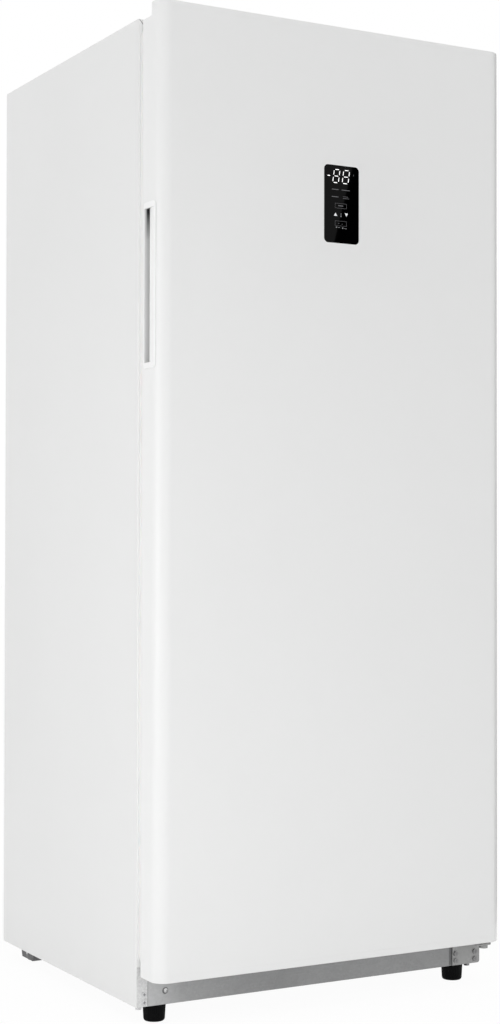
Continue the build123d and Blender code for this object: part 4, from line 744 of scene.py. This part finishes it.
# a dark strip of painted shade in the slit between this facing and the rail
cornerSeam = {"x": (-0.3342, -0.3332), "z": (0.0303, 0.0978), "front": -0.27025, "back": -0.26995}
# the left flange's outer strip beside the seal, in a paler paint as a painted highlight against the door's
# shade, and the dark mitre where it meets the roof's flange
flangeFacing = {"x": (-0.3551, -0.3492), "z": (0.0979, 1.7052), "front": -0.27015, "back": -0.26995}
flangeMitre = {
    "ends": ((-0.3543, 1.7052), (-0.3468, 1.6969)), "width": 0.0011, "front": -0.27025, "back": -0.26995,
}
# folded edge of the rail in the shallow channel beside the hinge bracket, darker than the rail as painted
# shade of the channel
railFold = {"x": (0.2872, 0.2950), "z": (0.0317, 0.0900), "front": -0.27005, "back": -0.2659}


def makeMitre(look):
    shape = bmesh.new()
    prism(shape, stroke(look["ends"], look["width"]), look["front"], look["back"])
    meshPiece("flangeMitre", "cabinet", finishes["collarGreyAndShade"], shape)


makePlate("cornerPlate", "cornerPlate", cornerPlate)
makePlate("cornerSeam", "collarGreyAndShade", cornerSeam)
makePlate("flangeFacing", "flange_paint", flangeFacing)
makeMitre(flangeMitre)
makePlate("railFold", "railFold", railFold)
print("facings and folds made")

# a push-in plug sunk in the rail's dimple: grey collar, lighter cap set to its right so that the collar shows
# only as a crescent of painted shade on the left, a pin mark
railPlug = {
    "place": (-0.3006, 0.0533), "floor": -0.2672,
    # radius, how far to the right and up of the place, and front
    "collar": (0.0054, 0.0, 0.0, -0.2684), "pin": (0.0013, 0.0034, -0.0014, -0.2697),
    "cap": (0.0037, 0.0017, -0.0002, -0.2694),
}


def makePlugPiece(name, finish, look, parts):
    x, z = look["place"]
    shape = bmesh.new()
    for radius, across, up, front in (look[part] for part in parts):
        disc(shape, x + across, z + up, radius, front, look["floor"])
    meshPiece(name, "cabinet", finishes[finish], shape)


# painted shade: dark discs in the cross recesses of the front screws: X, Z and the height of each seat
frontScrews = {
    "places": [
        (-0.3407, 0.0511, -0.27), (-0.3407, 0.0375, -0.27), (0.3008, 0.0521, -0.2725),
        (0.3008, 0.0392, -0.2725), (0.344, 0.052, -0.2725), (0.344, 0.0385, -0.2725),
    ],
    "radius": 0.0025, "front": 0.0021, "back": 0.0005,
}


def makeScrewRecessShade(look):
    shape = bmesh.new()
    for x, z, seat in look["places"]:
        disc(shape, x, z, look["radius"], seat - look["front"], seat - look["back"])
    meshPiece("screwGrime", "cabinet", finishes["collarGreyAndShade"], shape)


# the collar's crescent on the left is painted shade of the dimple's wall
makePlugPiece("railPlugCollar", "collarGreyAndShade", railPlug, ("collar", "pin"))
makePlugPiece("railPlugCap", "cornerPlate", railPlug, ("cap",))
makeScrewRecessShade(frontScrews)
print("rail plug and screw grime made")


# pieces grown with geometry nodes
intSocket = "NodeSocketInt"
upright = (math.pi / 2, 0.0, 0.0)


def geometryTree(name, inputs):
    placing = [("Centre", vectorSocket, (0.0, 0.0, 0.0)), ("Material", "NodeSocketMaterial", None)]
    return newGroup(name, "GeometryNodeTree", inputs + placing, [("Geometry", "NodeSocketGeometry")])


def geometry(tree, kind, inputs, **settings):
    return addNode(tree, "GeometryNode" + kind, inputs, **settings).outputs[0]


def rod(tree, start, end, sides, radius):
    line = geometry(tree, "CurvePrimitiveLine", {"Start": start, "End": end})
    ring = geometry(tree, "CurvePrimitiveCircle", {"Resolution": sides, "Radius": radius})
    return geometry(tree, "CurveToMesh", {"Curve": line, "Profile Curve": ring, "Fill Caps": True})


def coated(tree, grown, given, made):
    real = geometry(tree, "RealizeInstances", {"Geometry": grown})
    tree.links.new(geometry(tree, "SetMaterial", {"Geometry": real, "Material": given["Material"]}), made[0])
    return tree


def grow(name, tree, values, body):
    # runs the tree on an empty seed and keeps what it grows as a plain mesh
    seed = placed(name + "Seed", bpy.data.meshes.new(name + "Seed"))
    modifier = seed.modifiers.new("grow", "NODES")
    modifier.node_group = tree
    for item in tree.interface.items_tree:
        if item.in_out == "INPUT" and item.name in values:
            modifier[item.identifier] = values[item.name]
    graph = bpy.context.evaluated_depsgraph_get()
    data = bpy.data.meshes.new_from_object(seed.evaluated_get(graph), depsgraph=graph)
    seed.modifiers.remove(modifier)
    bpy.data.objects.remove(seed)
    data.name = name
    shape = bmesh.new()
    shape.from_mesh(data)
    joined(shape, grownReach)
    shape.to_mesh(data)
    shape.free()
    piece = placed(name, data)
    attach(piece, body)
    return piece


def ribRing():
    # upright ribs round a tapered foot
    tree, given, made = geometryTree("ribRing", [
        ("Ribs", intSocket, 36), ("Thickness", floatSocket, 0.0007),
        ("Low", vectorSocket, (0.0, 0.0, 0.0)), ("High", vectorSocket, (0.0, 0.0, 0.0)),
    ])
    sides = 6
    rib = rod(tree, given["Low"], given["High"], sides, given["Thickness"])
    posts = geometry(tree, "MeshLine", {"Count": given["Ribs"], "Offset": (0.0, 0.0, 0.0)})
    index = geometry(tree, "InputIndex", {})
    turn = calc(tree, "MULTIPLY", calc(tree, "DIVIDE", index, given["Ribs"]), math.tau)
    turned = addNode(tree, "ShaderNodeCombineXYZ", {"Z": turn}).outputs[0]
    copies = geometry(tree, "InstanceOnPoints", {"Points": posts, "Instance": rib, "Rotation": turned})
    moved = geometry(tree, "Transform", {"Geometry": copies, "Translation": given["Centre"]})
    return coated(tree, moved, given, made)


footRibs = {"Ribs": 36, "Thickness": 0.0007, "Low": (0.01785, 0.0, 0.003), "High": (0.0192, 0.0, 0.0266)}


def makeFootRibs(look):
    tree = ribRing()
    for side in ("left", "right"):
        low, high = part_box("foot_" + side)
        middle = (low + high) / 2
        values = {**look, "Centre": (middle.x, middle.y, 0.0), "Material": finishes["foot"]}
        grow("footRibs_" + side, tree, values, "foot_" + side)


makeFootRibs(footRibs)
print("foot ribs grown")


def sealSweep():
    # the seal's section carried round the door
    tree, given, made = geometryTree("sealSweep", [
        ("Width", floatSocket, 0.65), ("Height", floatSocket, 1.6), ("Corner", floatSocket, 0.014),
        ("Section", "NodeSocketObject", None),
    ])
    cornerPoints = 5
    loop = geometry(tree, "CurvePrimitiveQuadrilateral", {"Width": given["Width"], "Height": given["Height"]})
    corner = {"Curve": loop, "Count": cornerPoints, "Radius": given["Corner"]}
    eased = geometry(tree, "FilletCurve", corner, mode="POLY")
    info = {"Object": given["Section"]}
    section = addNode(tree, "GeometryNodeObjectInfo", info, transform_space="ORIGINAL").outputs["Geometry"]
    swept = geometry(tree, "CurveToMesh", {"Curve": eased, "Profile Curve": section})
    stood = {"Geometry": swept, "Translation": given["Centre"], "Rotation": upright}
    return coated(tree, geometry(tree, "Transform", stood), given, made)


sealShape = {
    "width": 0.022, "corner": 0.0125,
    # across from the outer edge and out from the door, in millimetres
    "section": [
        (-1.5, 0.9), (-3, 2), (-3.2, 3.4), (-2, 4.8), (-3.2, 6.2), (-3.2, 7.4), (-2, 8.8), (-3.2, 10.2),
        (-3.4, 12.6), (-2.4, 14.4), (14.6, 14.4), (16, 13.2), (16.2, 10.8), (14.4, 9), (16.8, 7.2),
        (14.8, 4.8), (17.6, 2.8), (20.8, 6.4), (21.8, 6.2), (20.8, 2), (21, 0),
    ],
}


def makeSeal(look):
    low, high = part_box("door_gasket")
    curve = bpy.data.curves.new("sealSection", "CURVE")
    spline = curve.splines.new("POLY")
    spline.points.add(len(look["section"]) - 1)
    for point, (across, out) in zip(spline.points, look["section"]):
        point.co = (look["width"] / 2 - across / 1000, out / 1000, 0.0, 1.0)
    spline.use_cyclic_u = True
    section = placed("sealSection", curve)
    values = {
        "Width": high.x - low.x - look["width"], "Height": high.z - low.z - look["width"],
        "Corner": look["corner"], "Section": section, "Material": finishes["gasket"],
        "Centre": ((low.x + high.x) / 2, low.y, (low.z + high.z) / 2),
    }
    seal = grow("doorSeal", sealSweep(), values, "door")
    bpy.data.objects.remove(section)
    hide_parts("door_gasket")


makeSeal(sealShape)
print("door seal grown")


def louvreLips():
    # a rolled lip over each slot of the rear cover
    tree, given, made = geometryTree("louvreLips", [
        ("Columns", intSocket, 5), ("Rows", intSocket, 9), ("Field Width", floatSocket, 0.42),
        ("Field Height", floatSocket, 0.2), ("Length", floatSocket, 0.08), ("Radius", floatSocket, 0.0018),
    ])
    sides = 8
    half = calc(tree, "DIVIDE", given["Length"], 2.0)
    start = addNode(tree, "ShaderNodeCombineXYZ", {"X": calc(tree, "MULTIPLY", half, -1.0)}).outputs[0]
    end = addNode(tree, "ShaderNodeCombineXYZ", {"X": half}).outputs[0]
    lip = rod(tree, start, end, sides, given["Radius"])
    field = geometry(tree, "MeshGrid", {
        "Size X": given["Field Width"], "Size Y": given["Field Height"],
        "Vertices X": given["Columns"], "Vertices Y": given["Rows"],
    })
    stood = {"Geometry": field, "Translation": given["Centre"], "Rotation": upright}
    copies = {"Points": geometry(tree, "Transform", stood), "Instance": lip}
    return coated(tree, geometry(tree, "InstanceOnPoints", copies), given, made)


rearLouvres = {
    "columns": 5, "rows": 9, "pitch": 0.105, "length": 0.086, "radius": 0.0014,
    "bottom": 0.090, "top": 0.246, "proud": 0.0005, "lift": 0.0042,
}


def makeLouvreLips(look):
    _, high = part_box("rear_cover")
    values = {
        "Columns": look["columns"], "Rows": look["rows"], "Length": look["length"], "Radius": look["radius"],
        "Field Width": look["pitch"] * (look["columns"] - 1), "Field Height": look["top"] - look["bottom"],
        "Centre": (0.0, high.y - look["proud"], (look["bottom"] + look["top"]) / 2 + look["lift"]),
        "Material": finishes["galvanised"],
    }
    grow("rearCoverLips", louvreLips(), values, "cabinet")


makeLouvreLips(rearLouvres)
print("rear cover lips grown")

# floor, light and camera
white, black = (1, 1, 1, 1), (0, 0, 0, 1)


def seenDirectly(tree):
    rays = addNode(tree, "ShaderNodeLightPath").outputs
    straight = calc(tree, "MAXIMUM", rays["Is Camera Ray"], rays["Is Glossy Ray"])
    return calc(tree, "MAXIMUM", straight, rays["Is Transmission Ray"])


def panel(name, place, aim, size, power, beam=180.0):
    return {"name": name, "place": place, "aim": aim, "size": size, "power": power, "spread": beam}


studio = {
    "floorHalf": 30.0, "floorGlow": 0.96, "ambient": 0.796,
    "floor": {"Base Color": (0.86, 0.86, 0.86, 1.0), "Roughness": 0.9, "Specular IOR Level": 0.1},
    "lamps": [
        panel("leftPanel", (-4.2, -1.2, 0.9), (0.0, 0.0, 0.7), 2.4, 20.5),
        panel("frontPanel", (-0.4, -4.6, 0.9), (0.0, 0.0, 0.7), 2.4, 3.5),
        panel("floorPanel", (-1.8, -2.2, 3.4), (-1.5, -1.7, 0.0), 1.6, 15.0, 70.0),
        panel("rightPanel", (3.4, 1.2, 1.6), (0.0, 0.0, 0.85), 2.4, 10.0),
        panel("rearPanel", (1.6, 3.4, 2.6), (0.0, 0.0, 0.85), 2.4, 12.0),
    ],
    # a card in front of the door to its right, in two tones that meet in a slanting line
    "card": {"x": (1.62, 2.08), "z": (1.8, 2.32), "y": -3.3, "split": (1.787, 1.93), "tones": (0.35, 0.0)},
    "sideCard": {"place": (0.9, 1.3, 1.3), "half": (1.9, 1.3), "tone": 0.03},
}
around = ((-1, -1), (1, -1), (1, 1), (-1, 1))


def sheets(name, faces):
    # a mesh of flat faces, each given by its corners
    shape = bmesh.new()
    for corners in faces:
        shape.faces.new([shape.verts.new(corner) for corner in corners])
    return meshOf(name, shape)


def cardTone(name, tone):
    material, _, surface = startMaterial(name)
    dressed(surface, {
        "Base Color": black, "Specular IOR Level": 0.0, "Emission Color": white, "Emission Strength": tone,
    })
    return material


def glossOnly(card):
    # only gloss sees it
    card.visible_camera = card.visible_diffuse = card.visible_shadow = card.visible_transmission = False


def makeCard(look):
    # for the door's black window to mirror
    (left, right), (low, high), (splitLow, splitHigh) = look["x"], look["z"], look["split"]
    halves = (
        ((left, low), (splitLow, low), (splitHigh, high), (left, high)),
        ((splitLow, low), (right, low), (right, high), (splitHigh, high)),
    )
    data = sheets("darkCard", [[(x, look["y"], z) for x, z in half] for half in halves])
    for index, tone in enumerate(look["tones"]):
        data.materials.append(cardTone("darkCard" + str(index), tone))
        data.polygons[index].material_index = index
    glossOnly(placed("darkCard", data))


def makeSideCard(look):
    # a dark wall to the right, which the door's far corner mirrors
    (x, y, z), (deep, tall) = look["place"], look["half"]
    data = sheets("sideCard", [[(x, y + along * deep, z + up * tall) for along, up in around]])
    data.materials.append(cardTone("sideCard", look["tone"]))
    glossOnly(placed("sideCard", data))


def makeFloor(look):
    # a matt floor that also glows where it is looked at, so that it ends as white as the backdrop
    half = look["floorHalf"]
    floor = placed("studioFloor", sheets("studioFloor", [[(x * half, y * half, 0) for x, y in around]]))
    material, tree, surface = startMaterial("studioFloorFinish")
    dressed(surface, look["floor"])
    share = calc(tree, "MULTIPLY", seenDirectly(tree), look["floorGlow"])
    glow = addNode(tree, "ShaderNodeEmission", {"Color": white, "Strength": 1.0}).outputs[0]
    mixed = addNode(tree, "ShaderNodeMixShader", {0: share, 1: surface.outputs["BSDF"], 2: glow})
    output = next(node for node in tree.nodes if node.type == "OUTPUT_MATERIAL")
    tree.links.new(mixed.outputs[0], output.inputs["Surface"])
    floor.data.materials.append(material)


def makeWorld(look):
    # white where it is looked at, a little dimmer as light
    world = bpy.data.worlds.new("studioWorld")
    world.use_nodes = True
    tree = world.node_tree
    tree.nodes.clear()
    dim, full = (addNode(tree, "ShaderNodeBackground", {"Color": white, "Strength": strength}).outputs[0]
                 for strength in (look["ambient"], 1.0))
    mixed = addNode(tree, "ShaderNodeMixShader", {0: seenDirectly(tree), 1: dim, 2: full})
    addNode(tree, "ShaderNodeOutputWorld", {"Surface": mixed.outputs[0]})
    bpy.context.scene.world = world


def makeLamp(lamp):
    light = bpy.data.lights.new(lamp["name"], "AREA")
    light.size = lamp["size"]
    light.energy = lamp["power"]
    light.spread = math.radians(lamp["spread"])
    holder = placed(lamp["name"], light)
    holder.location = lamp["place"]
    holder.rotation_euler = (Vector(lamp["aim"]) - holder.location).to_track_quat("-Z", "Y").to_euler()


makeFloor(studio)
makeWorld(studio)
makeCard(studio["card"])
makeSideCard(studio["sideCard"])
for lamp in studio["lamps"]:
    makeLamp(lamp)
print("studio ready")

viewpoint = {
    "place": (-1.7005, -3.0739, 0.8113), "yaw": 29.142, "pitch": 1.020, "roll": 0.1005,
    "lens": 64.45, "sensor": 36.0, "farthest": 200.0,
}


def makeCamera(look):
    yaw, pitch, roll = (math.radians(look[key]) for key in ("yaw", "pitch", "roll"))
    ahead = Vector((math.sin(yaw) * math.cos(pitch), math.cos(yaw) * math.cos(pitch), math.sin(pitch)))
    level = Vector((math.cos(yaw), -math.sin(yaw), 0.0))
    plumb = level.cross(ahead)
    right = level * math.cos(roll) + plumb * math.sin(roll)
    up = plumb * math.cos(roll) - level * math.sin(roll)
    data = bpy.data.cameras.new("frontLeft")
    data.lens = look["lens"]
    data.sensor_width = look["sensor"]
    data.clip_end = look["farthest"]
    matrix = Matrix((right, up, -ahead)).transposed().to_4x4()
    matrix.translation = Vector(look["place"])
    camera = placed("frontLeft", data)
    camera.matrix_world = matrix
    bpy.context.scene.camera = camera


makeCamera(viewpoint)
bpy.context.scene.view_settings.view_transform = "Standard"
